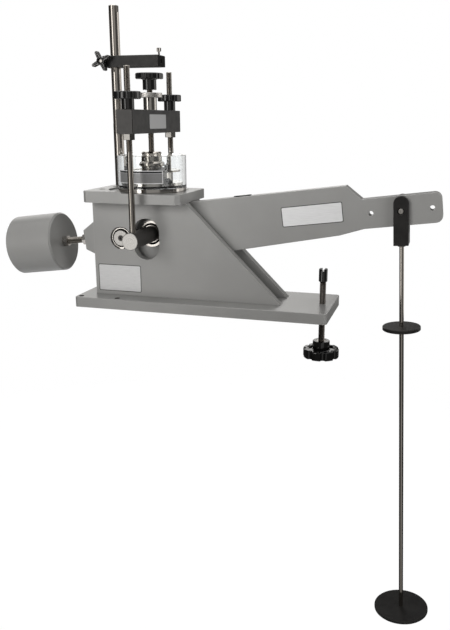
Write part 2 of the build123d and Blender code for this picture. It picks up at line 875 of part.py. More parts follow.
front_thumbwheel = thumbwheel(-1)
save(front_thumbwheel, "front_thumbwheel")
rear_thumbwheel = thumbwheel(1)
save(rear_thumbwheel, "rear_thumbwheel")

# Loading screw
with BuildPart() as screw_bush:
    with BuildSketch(upright(load_x, 0, crosshead_bottom)):
        Circle(screw_bush_spigot_d / 2)
    extrude(amount=crosshead_height)
    with BuildSketch(upright(load_x, 0, crosshead_top)):
        Circle(screw_bush_d / 2)
    extrude(amount=screw_bush_h)
    with BuildSketch(upright(load_x, 0, crosshead_bottom)):
        Circle(screw_d / 2 + thread_gap)
    extrude(amount=crosshead_height + screw_bush_h, mode=Mode.SUBTRACT)
save(screw_bush, "screw_bush")

with BuildPart() as lock_disc:
    with BuildSketch(upright(load_x, 0, lock_disc_bottom)):
        Circle(lock_disc_d / 2)
    extrude(amount=lock_disc_h)
    chamfer(lock_disc.edges().filter_by(GeomType.CIRCLE), lock_disc_edge)
    with BuildSketch(upright(load_x, 0, lock_disc_bottom)):
        Circle(screw_d / 2 + thread_gap)
    extrude(amount=lock_disc_h, mode=Mode.SUBTRACT)
save(lock_disc, "lock_disc")

screw_top = knob_bottom + knob_bore_depth

with BuildPart() as loading_screw:
    with BuildSketch(upright(load_x, 0, ball_centre)):
        Circle(screw_d / 2)
    extrude(amount=screw_top - ball_centre)
    with Locations((load_x, 0, ball_centre)):
        Sphere(load_ball_d / 2 + thread_gap, mode=Mode.SUBTRACT)
save(loading_screw, "loading_screw")

with BuildPart() as load_ball:
    with Locations((load_x, 0, ball_centre)):
        Sphere(load_ball_d / 2)
save(load_ball, "load_ball")

with BuildPart() as t_knob:
    with BuildSketch(upright(load_x, 0, knob_bottom)):
        Circle(knob_hub_d / 2)
    extrude(amount=knob_hub_h)
    with BuildSketch(upright(load_x, 0, knob_bottom + knob_hub_h)):
        fluted_outline(knob_d, knob_flutes, flute_r, knob_flute_depth)
    extrude(amount=knob_rim)
    chamfer(t_knob.faces().sort_by(Axis.Z)[-1].edges(), wheel_edge)
    with BuildSketch(upright(load_x, 0, knob_bottom)):
        Circle(screw_d / 2 + press_gap)
    extrude(amount=knob_bore_depth, mode=Mode.SUBTRACT)
save(t_knob, "t_knob")

# Consolidation cell
stud_spots = [
    (
        load_x + stud_circle_d / 2 * cos(radians(stud_angle + 360 / stud_count * turn)),
        stud_circle_d / 2 * sin(radians(stud_angle + 360 / stud_count * turn)),
    )
    for turn in range(stud_count)
]
drain_x = load_x + stud_circle_d / 2 * cos(radians(drain_angle))
drain_y = stud_circle_d / 2 * sin(radians(drain_angle))
oring_groove_d = wall_bore_d - 2 * press_gap - 2 * oring_section
cell_axis = Axis((load_x, 0, 0), (0, 0, 1))

with BuildPart() as cell_base:
    with BuildSketch(upright(load_x, 0, platform_top)):
        Circle(cell_d / 2)
    extrude(amount=cell_flange_h)
    with BuildSketch(upright(load_x, 0, wall_bottom)):
        Circle(spigot_d / 2)
    extrude(amount=spigot_top - cell_flange_h)
    with BuildSketch(upright(load_x, 0, platform_top + oring_height - oring_section / 2 - press_gap)):
        Circle(spigot_d / 2)
        Circle(oring_groove_d / 2 - press_gap, mode=Mode.SUBTRACT)
    extrude(amount=oring_section + 2 * press_gap, mode=Mode.SUBTRACT)
    with BuildSketch(upright(load_x, 0, ring_bottom)):
        Circle(ring_od / 2 + press_gap)
    extrude(amount=spigot_top, mode=Mode.SUBTRACT)
    with BuildSketch(upright(load_x, 0, floor_z)):
        Circle(stone_d / 2 + press_gap)
    extrude(amount=lower_stone_h, mode=Mode.SUBTRACT)
    with BuildSketch(Plane.XY.offset(spigot_z)):
        with Locations(*stud_spots):
            Circle(stud_d / 2 + press_gap)
        with Locations((drain_x, drain_y)):
            Circle(drain_neck_d / 2 + press_gap)
    extrude(amount=-stud_bite, mode=Mode.SUBTRACT)
save(cell_base, "cell_base")

with BuildPart() as o_ring:
    with BuildSketch(facing(0, load_x, platform_top + oring_height)):
        with Locations((oring_groove_d / 2 + oring_section / 2, 0)):
            Circle(oring_section / 2)
    revolve(axis=cell_axis)
save(o_ring, "o_ring")

with BuildPart() as acrylic_wall:
    with BuildSketch(upright(load_x, 0, wall_bottom)):
        Circle(cell_d / 2)
        Circle(wall_bore_d / 2, mode=Mode.SUBTRACT)
    extrude(amount=wall_height)
    chamfer(acrylic_wall.faces().sort_by(Axis.Z)[-1].edges(), wall_edge)
save(acrylic_wall, "acrylic_wall")

with BuildPart() as lower_stone:
    with BuildSketch(upright(load_x, 0, floor_z)):
        Circle(stone_d / 2)
    extrude(amount=lower_stone_h)
save(lower_stone, "lower_stone")

with BuildPart() as specimen_ring:
    with BuildSketch(upright(load_x, 0, ring_bottom)):
        Circle(ring_od / 2)
        Circle(ring_bore / 2, mode=Mode.SUBTRACT)
    extrude(amount=ring_height)
save(specimen_ring, "specimen_ring")

with BuildPart() as clamp_ring:
    with BuildSketch(Plane.XY.offset(ring_top)):
        with Locations((load_x, 0)):
            Circle(clamp_ring_od / 2)
            Circle(clamp_ring_bore / 2, mode=Mode.SUBTRACT)
        with Locations(*stud_spots):
            Circle(stud_d / 2 + thread_gap, mode=Mode.SUBTRACT)
    extrude(amount=clamp_ring_h)
save(clamp_ring, "clamp_ring")

with BuildPart() as cell_studs:
    with BuildSketch(Plane.XY.offset(spigot_z - stud_bite)):
        with Locations(*stud_spots):
            Circle(stud_d / 2)
    extrude(amount=stud_bite + clamp_top + stud_proud - spigot_z)
save(cell_studs, "cell_studs")

with BuildPart() as cell_nuts:
    with BuildSketch(Plane.XY.offset(clamp_top)):
        with Locations(*stud_spots):
            Circle(cell_nut_d / 2)
            Circle(stud_d / 2 + press_gap, mode=Mode.SUBTRACT)
    extrude(amount=cell_nut_h)
save(cell_nuts, "cell_nuts")

with BuildPart() as drain_plug:
    with BuildSketch(upright(drain_x, drain_y, spigot_z)):
        Circle(drain_d / 2)
    extrude(amount=drain_h)
    with BuildSketch(upright(drain_x, drain_y, spigot_z + drain_h)):
        Circle(drain_d / 2)
    with BuildSketch(upright(drain_x, drain_y, spigot_z + drain_h + drain_neck_h)):
        Circle(drain_neck_d / 2)
    loft()
    with BuildSketch(upright(drain_x, drain_y, spigot_z)):
        Circle(drain_neck_d / 2)
    extrude(amount=-stud_bite)
save(drain_plug, "drain_plug")

with BuildPart() as upper_stone:
    with BuildSketch(upright(load_x, 0, upper_stone_z)):
        Circle(stone_d / 2 - body_gap / 2)
    extrude(amount=upper_stone_h)
save(upper_stone, "upper_stone")

flange_z = cap_z + cap_disc_h + cap_neck_h
crown_z = flange_z + cap_flange_h

with BuildPart() as loading_cap:
    with BuildSketch(upright(load_x, 0, cap_z)):
        Circle(stone_d / 2 - body_gap / 2)
    extrude(amount=cap_disc_h)
    with BuildSketch(upright(load_x, 0, cap_z + cap_disc_h)):
        Circle(cap_neck_d / 2)
    extrude(amount=cap_neck_h)
    with BuildSketch(upright(load_x, 0, flange_z)):
        Circle(cap_flange_d / 2)
    extrude(amount=cap_flange_h)
    with BuildSketch(upright(load_x, 0, crown_z)):
        Circle(cap_neck_d / 2)
    extrude(amount=cap_crown_h)
    chamfer(loading_cap.faces().sort_by(Axis.Z)[-1].edges(), cap_crown_chamfer)
    with BuildSketch(upright(load_x, 0, cap_top - cap_groove_at - cap_groove_h)):
        Circle(cap_neck_d / 2)
        Circle(cap_neck_d / 2 - cap_groove_depth, mode=Mode.SUBTRACT)
    extrude(amount=cap_groove_h, mode=Mode.SUBTRACT)
    with BuildSketch(upright(load_x, 0, cap_top)):
        Circle(screw_d / 2 + cap_seat_clear)
    extrude(amount=-cap_seat_depth, mode=Mode.SUBTRACT)
save(loading_cap, "loading_cap")

# Dial gauge support
with BuildPart() as dial_post:
    with BuildSketch(upright(post_x, post_y, land_top)):
        Circle(post_d / 2)
    extrude(amount=arm_top + post_above_arm - land_top)
    chamfer(dial_post.edges().filter_by(GeomType.CIRCLE).sort_by(Axis.Z)[-1], rod_chamfer)
    with BuildSketch(upright(post_x, post_y, arm_top + post_above_arm)):
        Rectangle(2 * post_d, 2 * post_d)
        Rectangle(post_flat_across, 2 * post_d, mode=Mode.SUBTRACT)
    extrude(amount=-post_flat_h, mode=Mode.SUBTRACT)
    with BuildSketch(upright(post_x, post_y, land_top)):
        Circle(post_spigot_d / 2)
    extrude(amount=-(platform_thickness + land_height))
save(dial_post, "dial_post")

with BuildPart() as arm_bush:
    with BuildSketch(upright(post_x, post_y, arm_bottom)):
        Circle(bush_outer_r)
        Circle(post_d / 2 + running_gap, mode=Mode.SUBTRACT)
    extrude(amount=arm_height)
save(arm_bush, "arm_bush")

stud_plane = facing(arm_front, stud_x, arm_bottom + arm_height / 2)

with BuildPart() as dial_arm:
    with BuildSketch(Plane.XY.offset(arm_bottom)) as arm_outline:
        with Locations(((arm_left + arm_right) / 2, post_y)):
            Rectangle(arm_right - arm_left, arm_width)
        fillet(arm_outline.vertices().sort_by(Axis.X)[:2], arm_tail_radius)
    extrude(amount=arm_height)
    chamfer(dial_arm.edges().filter_by(Plane.XY), arm_edge)
    with BuildSketch(Plane.XY.offset(arm_bottom)):
        with Locations((post_x, post_y)):
            Circle(arm_bore_r)
        with Locations(((arm_left + post_x) / 2, post_y)):
            Rectangle(arm_tail, arm_slit)
    extrude(amount=arm_height, mode=Mode.SUBTRACT)
    with BuildSketch(stud_plane):
        Circle(clamp_stud_d / 2 + thread_gap)
    extrude(amount=-(arm_width / 2 + clamp_stud_bite), mode=Mode.SUBTRACT)
    with BuildSketch(Plane(origin=(arm_right, post_y, arm_bottom + arm_height / 2), z_dir=(1, 0, 0))):
        Circle(gauge_bore_d / 2)
    extrude(amount=-gauge_bore_depth, mode=Mode.SUBTRACT)
    with BuildSketch(upright(thumb_x, post_y, arm_top)):
        Circle(thumb_d / 2 + thread_gap)
    extrude(amount=-arm_height / 2, mode=Mode.SUBTRACT)
save(dial_arm, "dial_arm")

neck_end = star_neck_h + face_gap
star_front = stud_plane.offset(neck_end + star_thickness)
recess_floor = star_thickness - star_recess_depth

with BuildPart() as star_knob:
    with BuildSketch(stud_plane.offset(neck_end)) as star_outline:
        Circle(star_hub_d / 2)
        for turn in range(4):
            with BuildLine(Plane.XY.rotated((0, 0, star_turn + 90 * turn))):
                Polyline(
                    (0, -star_arm_width / 2),
                    (star_span / 2 - star_tip_width / 2, -star_tip_width / 2),
                    (star_span / 2 - star_tip_width / 2, star_tip_width / 2),
                    (0, star_arm_width / 2),
                    close=True,
                )
            make_face()
        with PolarLocations(star_span / 2 - star_tip_width / 2, 4, start_angle=star_turn):
            Circle(star_tip_width / 2)
    extrude(amount=star_thickness)
    chamfer(star_knob.faces().sort_by(Axis.Y)[0].edges(), edge_break)
    with BuildSketch(star_front):
        offset(star_outline.sketch_local, amount=-star_rim)
    extrude(amount=-star_hollow, mode=Mode.SUBTRACT)
    with BuildSketch(star_front):
        Circle(star_recess_d / 2)
    extrude(amount=-star_recess_depth, mode=Mode.SUBTRACT)
    with BuildSketch(stud_plane.offset(face_gap)):
        Circle(star_neck_d / 2)
    extrude(amount=star_neck_h)
    with BuildSketch(stud_plane.offset(face_gap)):
        Circle(clamp_stud_d / 2 + press_gap)
    extrude(amount=star_neck_h + recess_floor, mode=Mode.SUBTRACT)
save(star_knob, "star_knob")

stud_reach = arm_width / 2 + clamp_stud_bite - body_gap

with BuildPart() as clamp_stud:
    with BuildSketch(stud_plane.offset(-stud_reach)):
        Circle(clamp_stud_d / 2)
    extrude(amount=stud_reach + neck_end + recess_floor + stud_end_proud)
save(clamp_stud, "clamp_stud")

with BuildPart() as gauge_thumbscrew:
    with BuildSketch(upright(thumb_x, post_y, arm_bottom + arm_height / 2 + gauge_bore_d / 2)):
        Circle(thumb_d / 2)
    extrude(amount=arm_height / 2 - gauge_bore_d / 2 + thumb_neck)
    with BuildSketch(upright(thumb_x, post_y, arm_top + thumb_neck)):
        Circle(thumb_head_d / 2)
    extrude(amount=thumb_head_h)
    chamfer(gauge_thumbscrew.faces().sort_by(Axis.Z)[-1].edges(), edge_break)
save(gauge_thumbscrew, "gauge_thumbscrew")

# Weight hanger
ear_top_r = clevis_width / 2
clevis_slot_bottom = -clevis_below_pin + clevis_floor

with BuildPart() as hanger_clevis:
    with BuildSketch(hanger_front):
        with BuildLine():
            Polyline(
                (-ear_top_r, clevis_above_pin - ear_top_r),
                (-ear_top_r, -clevis_below_pin),
                (ear_top_r, -clevis_below_pin),
                (ear_top_r, clevis_above_pin - ear_top_r),
            )
            ThreePointArc(
                (ear_top_r, clevis_above_pin - ear_top_r),
                (0, clevis_above_pin),
                (-ear_top_r, clevis_above_pin - ear_top_r),
            )
        make_face()
    extrude(amount=clevis_half, both=True)
    chamfer(hanger_clevis.faces().sort_by(Axis.Y)[0].edges(), edge_break)
    with BuildSketch(hanger_front):
        with Locations((0, (clevis_slot_bottom + clevis_above_pin + ear_top_r) / 2)):
            Rectangle(2 * clevis_width, clevis_above_pin + ear_top_r - clevis_slot_bottom)
    extrude(amount=beam_thickness / 2 + clevis_side_gap, both=True, mode=Mode.SUBTRACT)
    with BuildSketch(hanger_front):
        Circle(pin_d / 2 + press_gap)
    extrude(amount=clevis_half, both=True, mode=Mode.SUBTRACT)
    with BuildSketch(hanger_front.offset(clevis_half)):
        Circle(pin_recess_d / 2)
    extrude(amount=-pin_recess_depth, mode=Mode.SUBTRACT)
    with BuildSketch(hanger_plane.offset(-clevis_below_pin)):
        Circle(hanger_rod_d / 2 + press_gap)
    extrude(amount=hanger_rod_bite, mode=Mode.SUBTRACT)
save(hanger_clevis, "hanger_clevis")

pin_tail = clevis_half + 3 * clip_thickness
pin_seat = clevis_half - pin_recess_depth

with BuildPart() as clevis_pin:
    with BuildSketch(hanger_front.offset(-pin_tail)):
        Circle(pin_d / 2)
    extrude(amount=pin_tail + pin_seat)
    with BuildSketch(hanger_front.offset(pin_seat)):
        Circle(pin_head_d / 2)
    extrude(amount=pin_head_h)
    chamfer(clevis_pin.faces().sort_by(Axis.Y)[0].edges(), edge_break)
    with BuildSketch(hanger_front.offset(pin_seat + pin_head_h)):
        Rectangle(pin_slot, pin_head_d)
    extrude(amount=-pin_head_h / 2, mode=Mode.SUBTRACT)
save(clevis_pin, "clevis_pin")

with BuildPart() as pin_clip:
    with BuildSketch(hanger_front.offset(-clevis_half)):
        Circle(clip_d / 2)
        Circle(pin_d / 2 + press_gap, mode=Mode.SUBTRACT)
        with Locations((0, -clip_d / 2)):
            Rectangle(pin_d / 2, clip_d, mode=Mode.SUBTRACT)
    extrude(amount=-clip_thickness)
save(pin_clip, "pin_clip")

under_clevis = Plane(
    origin=hanger_plane.offset(-clevis_below_pin).origin, x_dir=(0, 1, 0), z_dir=-hanger_plane.z_dir
)
hanger_nut = hex_nut(under_clevis, hanger_nut_af, hanger_nut_h, hanger_rod_d / 2 + press_gap)
save(hanger_nut, "hanger_nut")

with BuildPart() as hanger_rod:
    with BuildSketch(hanger_plane.offset(-bottom_disc_drop - bottom_disc_h)):
        Circle(hanger_rod_d / 2)
    extrude(amount=bottom_disc_drop + bottom_disc_h - clevis_below_pin + hanger_rod_bite)
save(hanger_rod, "hanger_rod")


def weight_disc(drop, diameter, height):
    """A round weight seat on the hanger's rod, with a boss under it."""
    with BuildPart() as disc:
        with BuildSketch(hanger_plane.offset(-drop - height)):
            Circle(diameter / 2)
        extrude(amount=height)
        chamfer(disc.edges().filter_by(GeomType.CIRCLE), disc_edge)
        with BuildSketch(hanger_plane.offset(-drop - height)):
            Circle(disc_boss_d / 2)
        extrude(amount=-disc_boss_h)
        with BuildSketch(hanger_plane.offset(-drop - height - disc_boss_h)):
            Circle(hanger_rod_d / 2 + press_gap)
        extrude(amount=height + disc_boss_h, mode=Mode.SUBTRACT)
    return disc


middle_disc = weight_disc(middle_disc_drop, middle_disc_d, middle_disc_h)
save(middle_disc, "middle_disc")
bottom_disc = weight_disc(bottom_disc_drop, bottom_disc_d, bottom_disc_h)
save(bottom_disc, "bottom_disc")

# Beam support jack
screw_shoulder = jack_cap_bottom - face_gap
wheel_bottom = -jack_wheel_drop - jack_wheel_h

with BuildPart() as jack_screw:
    with BuildSketch(upright(jack_x, 0, wheel_bottom + jack_wheel_h / 3)):
        Circle(jack_d / 2)
    extrude(amount=screw_shoulder - wheel_bottom - jack_wheel_h / 3)
    with BuildSketch(upright(jack_x, 0, screw_shoulder)):
        Circle(jack_tip_d / 2)
    extrude(amount=jack_cap_socket)
save(jack_screw, "jack_screw")

with BuildPart() as jack_cap:
    with BuildSketch(upright(jack_x, 0, jack_cap_bottom)):
        Circle(jack_cap_d / 2)
    extrude(amount=jack_cap_h)
    chamfer(jack_cap.edges().filter_by(GeomType.CIRCLE), edge_break)
    with BuildSketch(upright(jack_x, 0, jack_cap_bottom)):
        Circle(jack_tip_d / 2 + thread_gap)
    extrude(amount=jack_cap_socket + face_gap, mode=Mode.SUBTRACT)
    with BuildSketch(upright(jack_x, 0, jack_top)):
        Rectangle(2 * jack_cap_d, jack_notch_width)
        Rectangle(jack_notch_width, 2 * jack_cap_d)
    extrude(amount=-jack_notch_depth, mode=Mode.SUBTRACT)
save(jack_cap, "jack_cap")

with BuildPart() as jack_wheel:
    with BuildSketch(upright(jack_x, 0, wheel_bottom)):
        fluted_outline(jack_wheel_d, jack_wheel_flutes, jack_flute_r, jack_flute_depth, jack_wheel_turn)
    extrude(amount=jack_wheel_h)
    chamfer(jack_wheel.faces().sort_by(Axis.Z)[0].edges(), 2 * wheel_edge)
    chamfer(jack_wheel.faces().sort_by(Axis.Z)[-1].edges(), 2 * wheel_edge)
    with BuildSketch(upright(jack_x, 0, -jack_wheel_drop)):
        Circle(jack_web_d / 2)
    extrude(amount=-jack_web_sink, mode=Mode.SUBTRACT)
    with BuildSketch(upright(jack_x, 0, -jack_wheel_drop - jack_web_sink)):
        Circle(jack_hub_d / 2)
    extrude(amount=jack_web_sink + jack_hub_h)
    with BuildSketch(upright(jack_x, 0, -jack_wheel_drop + jack_hub_h)):
        Circle(jack_insert_d / 2)
    extrude(amount=-jack_insert_sink, mode=Mode.SUBTRACT)
    with BuildSketch(upright(jack_x, 0, wheel_bottom + jack_wheel_h / 3)):
        Circle(jack_d / 2 + press_gap)
    extrude(amount=jack_wheel_h + jack_hub_h, mode=Mode.SUBTRACT)
save(jack_wheel, "jack_wheel")
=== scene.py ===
import json
from math import acos, cos, pi, radians, sin, sqrt, tau

import bmesh
import bpy
from mathutils import Matrix, Vector


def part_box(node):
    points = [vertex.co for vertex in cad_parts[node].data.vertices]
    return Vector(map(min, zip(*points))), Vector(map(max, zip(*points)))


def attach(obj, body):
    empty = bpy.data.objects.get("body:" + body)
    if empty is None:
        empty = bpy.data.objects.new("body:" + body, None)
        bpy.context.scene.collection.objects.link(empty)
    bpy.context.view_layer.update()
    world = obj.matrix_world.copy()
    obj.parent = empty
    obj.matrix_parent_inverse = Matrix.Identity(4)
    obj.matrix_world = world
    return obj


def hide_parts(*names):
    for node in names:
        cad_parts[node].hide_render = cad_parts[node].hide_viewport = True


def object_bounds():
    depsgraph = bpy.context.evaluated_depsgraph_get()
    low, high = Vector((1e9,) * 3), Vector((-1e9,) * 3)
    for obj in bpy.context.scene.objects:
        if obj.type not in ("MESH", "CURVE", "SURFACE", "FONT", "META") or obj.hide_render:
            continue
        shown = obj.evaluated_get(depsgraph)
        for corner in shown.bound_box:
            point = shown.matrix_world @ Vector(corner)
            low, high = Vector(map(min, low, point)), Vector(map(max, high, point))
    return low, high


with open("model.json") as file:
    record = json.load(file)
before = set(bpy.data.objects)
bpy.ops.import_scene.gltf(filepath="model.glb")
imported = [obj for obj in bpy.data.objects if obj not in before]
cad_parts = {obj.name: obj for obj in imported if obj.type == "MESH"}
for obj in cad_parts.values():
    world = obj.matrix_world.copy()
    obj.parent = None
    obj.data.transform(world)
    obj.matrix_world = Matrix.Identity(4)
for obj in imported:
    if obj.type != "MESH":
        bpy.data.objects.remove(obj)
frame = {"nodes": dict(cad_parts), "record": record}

# Looks of a lever-arm consolidation load frame, in metres, in the part's own frame.

cad_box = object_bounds()
MM = 0.001

# Photograph
IMAGE_WIDTH = 450
FOCAL_PIXELS = 730.6
AXIS_PIXEL_X = 238.9
CAMERA_PLACE = Vector((0.6149, -1.2719, 0.3398))
CAMERA_YAW = radians(15.88)
CAMERA_PITCH = radians(-14.99)
SENSOR_WIDTH = 36.0

# Threads: pitches, depth and end chamfer in pitches, share of the radius that counts as the crest
SCREW_PITCH = 2.0 * MM
ROD_PITCH = 1.5 * MM
FINE_PITCH = 0.8 * MM
THREAD_SHARE = 0.54
THREAD_CHAMFER = 0.6
THREAD_CREST = 0.98
ROWS_PER_TURN = 6

# Knurls and flutes: the steps are points round each of them
KNURL_CREST = 0.96
KNURL_DEPTH = 0.35 * MM
KNURL_STEPS = 4
FLUTE_RADIUS = 4.6 * MM
FLUTE_STEPS = 16

# Gaps between pieces
TIGHT_FIT = 0.02 * MM
LOOSE_FIT = 0.1 * MM
TURNING_FIT = 0.15 * MM

# Round shapes: how smooth they are, and small rounded edges
SMOOTH_ANGLE = radians(32)
CORNER_STEPS = 4
ARC_STEPS = 24
ROD_SEGMENTS = 32
RING_SEGMENTS = 96
WALL_SEGMENTS = 160
SMALL_EDGE = 0.6 * MM
FINE_EDGE = 0.1 * MM

# Sockets of a node that mixes colours
MIX_FACTOR, MIX_UNDER, MIX_OVER, MIX_RESULT = 0, 6, 7, 2

# Colours, as linear values: the light tone of each surface and its shaded tone
GREY = (0.288, 0.285, 0.276), (0.274, 0.271, 0.262)
STEEL = (0.520, 0.485, 0.445), (0.400, 0.370, 0.335)
ROD = (0.360, 0.335, 0.305), (0.250, 0.230, 0.205)
ZINC = (0.230, 0.222, 0.210), (0.140, 0.134, 0.126)
BRIGHT = (0.760, 0.740, 0.715), (0.560, 0.540, 0.515)
DARK_STEEL = (0.200, 0.182, 0.165), (0.090, 0.080, 0.072)
STAINLESS = (0.540, 0.520, 0.495), (0.330, 0.312, 0.290)
FACED = (0.290, 0.284, 0.275), (0.170, 0.165, 0.158)
ANODISED = (0.021, 0.020, 0.019), (0.013, 0.0125, 0.012)
ANODISED_FADED = (0.042, 0.040, 0.038), (0.021, 0.020, 0.019)
# Painted light: a lighter copy of the faded tone for the crosshead's end faces
ANODISED_PAINTED_LIGHT = (0.0490, 0.0466, 0.0443), (0.042, 0.040, 0.038)
PAINT = (0.021, 0.0201, 0.0193), (0.014, 0.0134, 0.0129)
PLASTIC = (0.0050, 0.0049, 0.0048), (0.0030, 0.0029, 0.0029)
OXIDE = (0.046, 0.043, 0.040), (0.026, 0.0245, 0.023)
SINTERED = (0.66, 0.64, 0.58), (0.42, 0.40, 0.36)
BLOOM = (0.009, 0.0085, 0.008), (0.004, 0.004, 0.004)
SPIRIT = (0.50, 0.66, 0.10), (0.34, 0.50, 0.05)
IVORY = (0.74, 0.71, 0.63), (0.62, 0.58, 0.50)
PAPER = (0.18, 0.18, 0.18), (0.15, 0.15, 0.15)

# Tones of lighter edges: wear, and on the grey coat and the anodised black partly a painted edge highlight
GREY_EDGE_WEAR_AND_HIGHLIGHT = (0.470, 0.465, 0.450)
ANODISED_EDGE_WEAR_AND_HIGHLIGHT = (0.140, 0.134, 0.126)
PLASTIC_WORN = (0.016, 0.016, 0.016)
OXIDE_WORN = (0.160, 0.150, 0.140)


def joint(name):
    """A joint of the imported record."""
    return next(entry for entry in frame["record"]["behaviour"]["joints"] if entry["name"] == name)


def middle(name):
    """The centre of a node's box."""
    low, high = (Vector(corner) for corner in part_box(name))
    return (low + high) / 2


def span(name):
    """The size of a node's box."""
    low, high = (Vector(corner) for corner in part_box(name))
    return high - low


def rise(name):
    """The height of a node from its foot to its top."""
    low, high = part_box(name)
    return high[2] - low[2]


def along(point, axis):
    """A frame at a point with its Z axis along a direction."""
    return Matrix.Translation(point) @ Vector(axis).to_track_quat("Z", "Y").to_matrix().to_4x4()


def foot(name, carrier=None):
    """A frame at the foot of a node, on its upright axis or on that of the node that carries it."""
    return Matrix.Translation((*middle(carrier or name).xy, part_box(name)[0][2]))


def end_frames(name):
    """Frames on the front and rear faces of a node, with their Z axes pointing outward."""
    x, _, z = middle(name)
    front, rear = (corner[1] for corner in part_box(name))
    return along((x, front, z), (0, -1, 0)), along((x, rear, z), (0, 1, 0))


# Materials

def shader(material):
    """The material's Principled shader."""
    return material.node_tree.nodes["Principled BSDF"]


def new_material(name, roughness, shine=0.5, **sockets):
    """A Principled material with what is the same all over set on the shader's own sockets."""
    material = bpy.data.materials.new(name)
    material.use_nodes = True
    sockets.update(Roughness=roughness, Specular_IOR_Level=shine)
    for socket, value in sockets.items():
        shader(material).inputs[socket.replace("_", " ")].default_value = value
    return material


def node(owner, kind, inputs=(), operation=None, **settings):
    """Adds a node with its operation, and gives its inputs constants or links from outputs."""
    made = owner.node_tree.nodes.new(f"ShaderNode{kind}")
    if operation:
        made.operation = operation
    named = [(value, socket.replace("_", " ")) for socket, value in settings.items()]
    for value, socket in [*inputs, *named]:
        if isinstance(value, bpy.types.NodeSocket):
            owner.node_tree.links.new(value, made.inputs[socket])
        else:
            made.inputs[socket].default_value = value
    return made


def into(material, output, socket):
    """Links an output into the material's shader."""
    material.node_tree.links.new(output, shader(material).inputs[socket])


def ranged(material, value, **ends):
    """A value taken from one range to another."""
    return node(material, "MapRange", Value=value, **ends).outputs["Result"]


def noise(material, grain, stretch=(1, 1, 1), detail=3.0):
    """Noise in the part's frame, with grains of a size in metres, stretched along the axes."""
    place = node(material, "TexCoord")
    scale = tuple(share / grain for share in stretch)
    mapped = node(material, "Mapping", Vector=place.outputs["Object"], Scale=scale).outputs["Vector"]
    return node(material, "TexNoise", Vector=mapped, Scale=1.0, Detail=detail).outputs["Fac"]


def factor(material, source, detail=3.0):
    """A source as it is, or noise where the size of its grains is given."""
    return noise(material, source, detail=detail) if isinstance(source, float) else source


def colour(material, source, tones, low=0.35, high=0.65, detail=3.0):
    """Base colour between a light and a shaded tone, by a source or a grain."""
    light, shade = tones
    ramp = node(material, "ValToRGB", Fac=factor(material, source, detail))
    ends = ramp.color_ramp.elements
    ends[0].position, ends[0].color = low, (*shade, 1)
    ends[1].position, ends[1].color = high, (*light, 1)
    into(material, ramp.outputs["Color"], "Base Color")


def polish(material, source, smooth, rough):
    """Roughness between two values, by a source or a grain."""
    into(material, ranged(material, factor(material, source), To_Min=smooth, To_Max=rough), "Roughness")


def relief(material, source, depth, strength, detail=3.0):
    """Fine bumps of a depth in metres, from a source or a grain."""
    height = factor(material, source, detail)
    bump = node(material, "Bump", Height=height, Strength=strength, Distance=depth)
    into(material, bump.outputs["Normal"], "Normal")


def layer(material, blend, share, tone):
    """Mixes a share of a tone into the base colour."""
    coat = shader(material).inputs["Base Color"].links[0].from_socket
    mixed = node(material, "Mix", [(share, MIX_FACTOR), (coat, MIX_UNDER), (tone, MIX_OVER)])
    mixed.data_type = "RGBA"
    mixed.blend_type = blend
    into(material, mixed.outputs[MIX_RESULT], "Base Color")


def edge_wear_and_highlight(material, tone, edge, strength, patch=3 * MM):
    """Lays a lighter tone over the base colour in broken patches along the edges: wear, and on some
    finishes partly a painted edge highlight.
    """
    true = node(material, "NewGeometry").outputs["Normal"]
    eased = node(material, "Bevel", Radius=edge).outputs["Normal"]
    turned = node(material, "VectorMath", [(true, 0), (eased, 1)], "DOT_PRODUCT")
    ridge = ranged(material, turned.outputs["Value"], From_Min=0.99, From_Max=0.8, To_Max=strength)
    patches = noise(material, patch, detail=5.0)
    broken = node(material, "Math", [(ridge, 0), (patches, 1)], "MULTIPLY")
    layer(material, "MIX", broken.outputs["Value"], (*tone, 1))


def darken(material, value, dark, clear, deepest):
    """Multiplies the base colour by a share that grows to one as a value goes from dark to clear."""
    layer(material, "MULTIPLY", 1.0, ranged(material, value, From_Min=dark, From_Max=clear, To_Min=deepest))


def paint_ao_shade(material, reach, deepest, darkest_ao=0.3, clearest_ao=0.62):
    """Painted shade: darkens the base colour by ambient occlusion, in holes and along the feet of steps."""
    nook = node(material, "AmbientOcclusion", Distance=reach)
    darken(material, nook.outputs["AO"], darkest_ao, clearest_ao, deepest)


def off_axis(material, x, z):
    """Distance from an axis along Y."""
    place = node(material, "TexCoord").outputs["Object"]
    offset = node(material, "VectorMath", [(place, 0), ((x, 0, z), 1)], "SUBTRACT").outputs["Vector"]
    flat = node(material, "VectorMath", [(offset, 0), ((1, 0, 1), 1)], "MULTIPLY").outputs["Vector"]
    return node(material, "VectorMath", [(flat, 0)], "LENGTH").outputs["Value"]


def background_rays(owner):
    """One for the rays that show the background, straight, mirrored or through something clear."""
    rays = node(owner, "LightPath").outputs
    shown = rays["Is Camera Ray"]
    for kind in ("Is Glossy Ray", "Is Transmission Ray"):
        shown = node(owner, "Math", [(shown, 0), (rays[kind], 1)], "MAXIMUM").outputs["Value"]
    return shown


def powder_coat():
    """Warm grey semi-gloss powder coat with a fine orange-peel skin."""
    material = new_material("grey_powder_coat", 0.28)
    colour(material, 60 * MM, GREY, detail=4.0)
    # Lighter edges: partly wear, partly a painted edge highlight
    edge_wear_and_highlight(material, GREY_EDGE_WEAR_AND_HIGHLIGHT, 1.1 * MM, 1.3, 20 * MM)
    # Painted shade in holes and along the feet of steps
    paint_ao_shade(material, 7 * MM, 0.03)
    polish(material, 45 * MM, 0.29, 0.34)
    relief(material, 0.7 * MM, 0.02 * MM, 0.05, detail=1.0)
    return material


